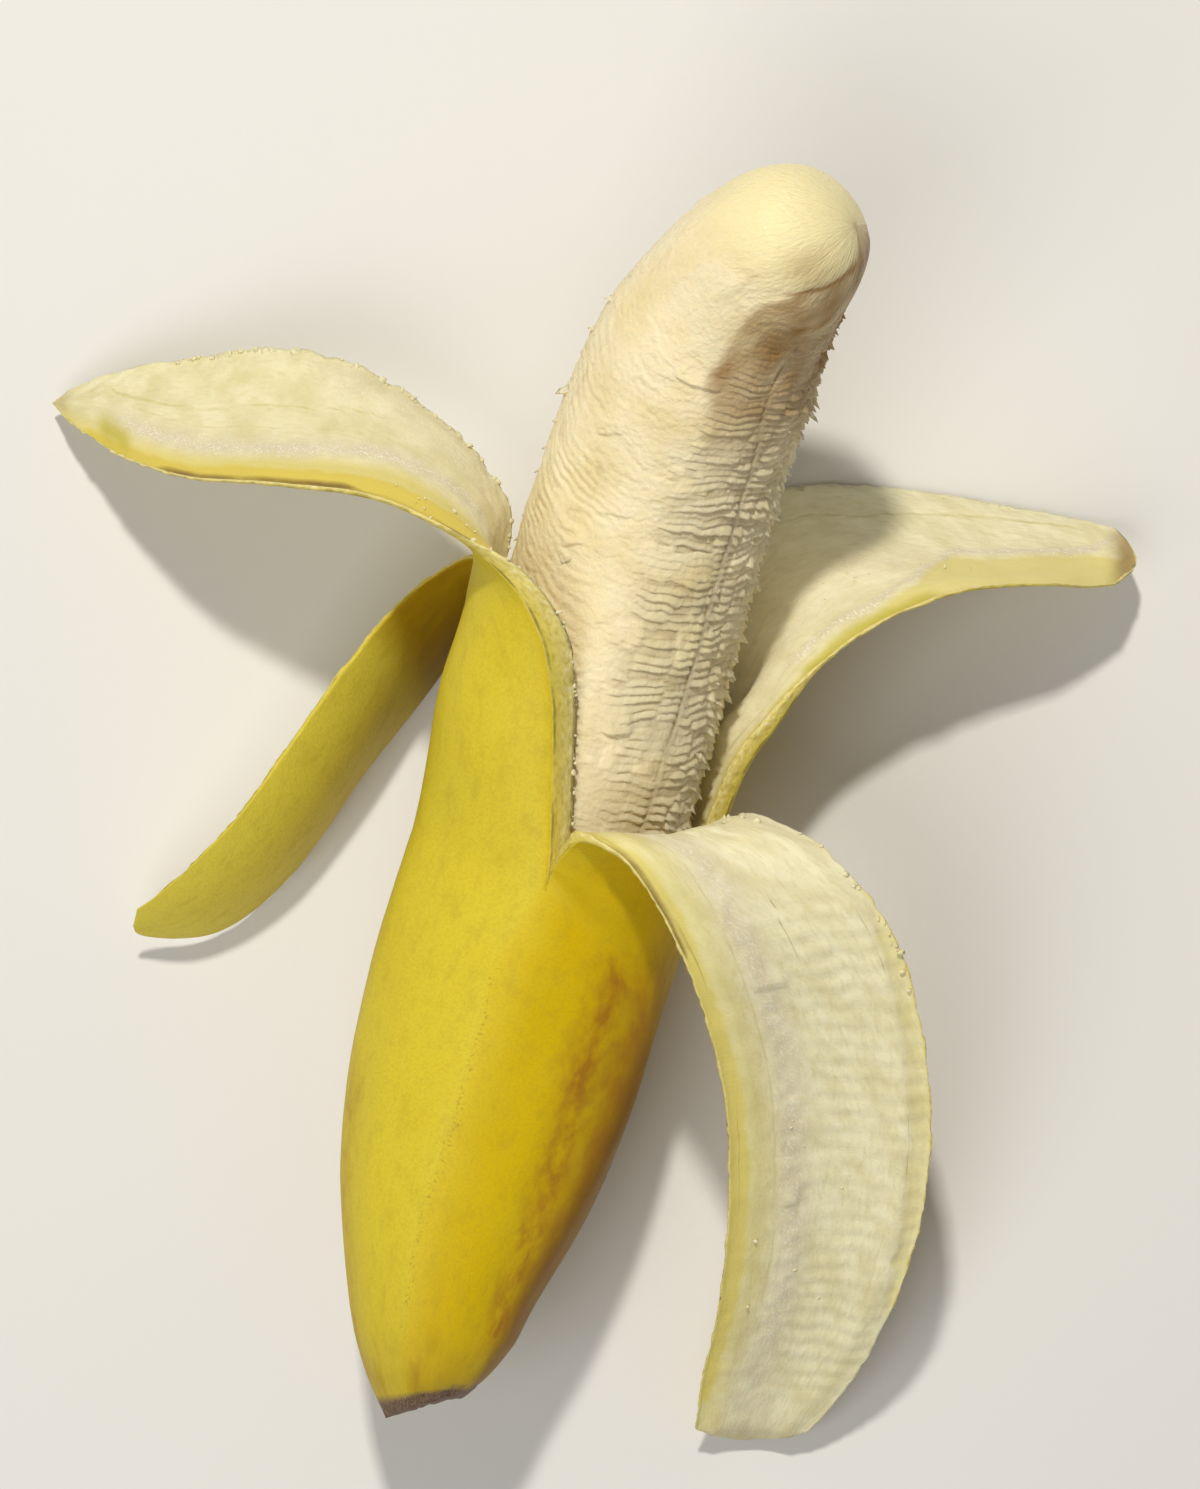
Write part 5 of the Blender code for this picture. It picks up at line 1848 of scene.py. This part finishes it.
@dataclass
class Crumbs:
    """Pale crumbs of pith that cling to the torn edges and to the top of the front strip's fold."""

    SMALLNESS = 2.5  # the higher it is, the more of the crumbs are small
    LUMP_HEIGHT, LUMP_PITCH = 0.55, 1.4  # how uneven a crumb is, and how finely
    LUMP_SPREAD, LUMP_SEED = 50, 41  # so that no two are alike
    SQUASH = (0.45, 1.4)  # how flat or long it is

    name: str = "pith_crumbs"
    seed: int = 12
    sprinkles: tuple[Sprinkle, ...] = (
        Sprinkle(0, (0.975, 1.0), (36, 98), 130, (0.12, 0.5)),
        Sprinkle(0, (0.0, 0.035), (3, 44), 80, (0.12, 0.4)),
        Sprinkle(0, (0.0, 0.2), (40, 60), 12, (0.12, 0.3)),
        Sprinkle(3, (0.0, 0.3), (24, 31), 40, (0.12, 0.5)),
        Sprinkle(3, (0.0, 0.03), (31, 60), 16, (0.15, 0.5)),
        Sprinkle(2, (0.0, 0.03), (62, 108), 26, (0.12, 0.3)),
        Sprinkle(3, (0.4, 0.9), (40, 110), 16, (0.1, 0.3)),
        Sprinkle(2, (0.6, 0.72), (66, 90), 16, (0.1, 0.3)),
    )

    def build(self) -> bpy.types.Object:
        """Models and dresses the crumbs."""
        draw = np.random.default_rng(self.seed)
        bm = bmesh.new()
        for sprinkle in self.sprinkles:
            gore = Gore(STRIPS[sprinkle.strip], FRUIT)
            across = draw.uniform(*sprinkle.sides, sprinkle.count)
            reach = draw.uniform(*sprinkle.along, sprinkle.count) / gore.length
            _, inside, _ = gore.on_strip(across, reach)
            for spot in inside:
                self.add(bm, spot, mix(sprinkle.sizes, draw.uniform() ** self.SMALLNESS), draw)
        piece = fill_mesh(self.name, bm, (Pith("banana pith, crumbs"),))
        mark_evenly(piece.data, {"pith_marks": (0.1, 0.2, 0), "pith_lines": (4, 4, 0), "tones": (0.1, 0, 0)})
        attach(piece, BODY)
        return piece

    def add(self, bm: bmesh.types.BMesh, spot: Array, size: float, draw: np.random.Generator) -> None:
        """Adds one uneven crumb to a bmesh."""
        crumb = bmesh.ops.create_icosphere(bm, subdivisions=2, radius=1)["verts"]
        ball = np.array([vert.co for vert in crumb])
        shift = draw.uniform(0, self.LUMP_SPREAD)
        lumps = noise(*(ball * self.LUMP_PITCH + shift).T, seed=self.LUMP_SEED)
        ball = ball * (1 + self.LUMP_HEIGHT * lumps)[:, None] * draw.uniform(*self.SQUASH, 3)
        for vert, point in zip(crumb, spot + ball * size):
            vert.co = point * MM


@dataclass(frozen=True)
class StudioLight:
    """A soft square light that points at the banana."""

    name: str
    place: Point
    side: float
    power: float
    colour: str = "#FFFFFF"

    def make(self, target: Vector) -> None:
        """Builds the light."""
        lamp = bpy.data.lights.new(self.name, "AREA")
        lamp.size = self.side * MM
        lamp.energy = self.power
        lamp.color = srgb(self.colour)[:3]
        stand = bpy.data.objects.new(self.name, lamp)
        stand.location = Vector(self.place) * MM
        stand.rotation_euler = (target - stand.location).to_track_quat("-Z", "Y").to_euler()
        bpy.context.scene.collection.objects.link(stand)


@dataclass
class Studio:
    """The pale floor, the soft lights and the camera."""

    middle: Point = (12.8, 37.2, 25.0)  # of the banana
    floor_side: float = 3000.0
    camera_place: Point = (12.825, 37.19, 620.0)
    lens: float = 107.46
    sensor: float = 36.0
    clip: Pair = (0.01, 20)  # metres, nearest and farthest that it sees
    sky: str = "#FFFFFF"
    sky_strength: float = 0.19
    lights: tuple[StudioLight, ...] = (
        StudioLight("key light", (-59, 548, 762), 60, 5.55, "#FFFBF4"),
        StudioLight("soft front light", (-260, -260, 640), 520, 2.3),
    )

    def build(self) -> None:
        """Sets up the studio."""
        self.lay_floor()
        self.hang_sky()
        for light in self.lights:
            light.make(Vector(self.middle) * MM)
        self.place_camera()
        bpy.context.scene.view_settings.view_transform = "Standard"

    def lay_floor(self) -> None:
        """Lays the floor that the banana rests on."""
        bm = bmesh.new()
        bmesh.ops.create_grid(bm, x_segments=1, y_segments=1, size=self.floor_side / 2 * MM)
        fill_mesh("floor", bm, (PalePaper(),))

    def hang_sky(self) -> None:
        """Surrounds the studio with even white light."""
        world = bpy.data.worlds.new("studio sky")
        world.use_nodes = True
        tree = world.node_tree
        tree.nodes.clear()
        inputs = {"Color": srgb(self.sky), "Strength": self.sky_strength}
        add_node(tree, "OutputWorld", {"Surface": add_node(tree, "Background", inputs)})
        bpy.context.scene.world = world

    def place_camera(self) -> None:
        """Places the camera above the banana, looking straight down, with the photo's up at its top."""
        lens = bpy.data.cameras.new("camera")
        lens.lens = self.lens
        lens.sensor_width = self.sensor
        lens.clip_start, lens.clip_end = self.clip
        camera = bpy.data.objects.new("camera", lens)
        camera.location = Vector(self.camera_place) * MM
        bpy.context.scene.collection.objects.link(camera)
        bpy.context.scene.camera = camera


def main() -> None:
    """Builds the studio and the banana's pieces, and reports each."""
    logging.basicConfig(level=logging.INFO, format="%(name)s: %(message)s")
    Studio().build()
    for maker in (Peel(), Crumbs(), Flesh(), FleshScales()):
        piece = maker.build()
        log.info("%s: %d faces", piece.name, len(piece.data.polygons))


if __name__ == "__main__":
    main()
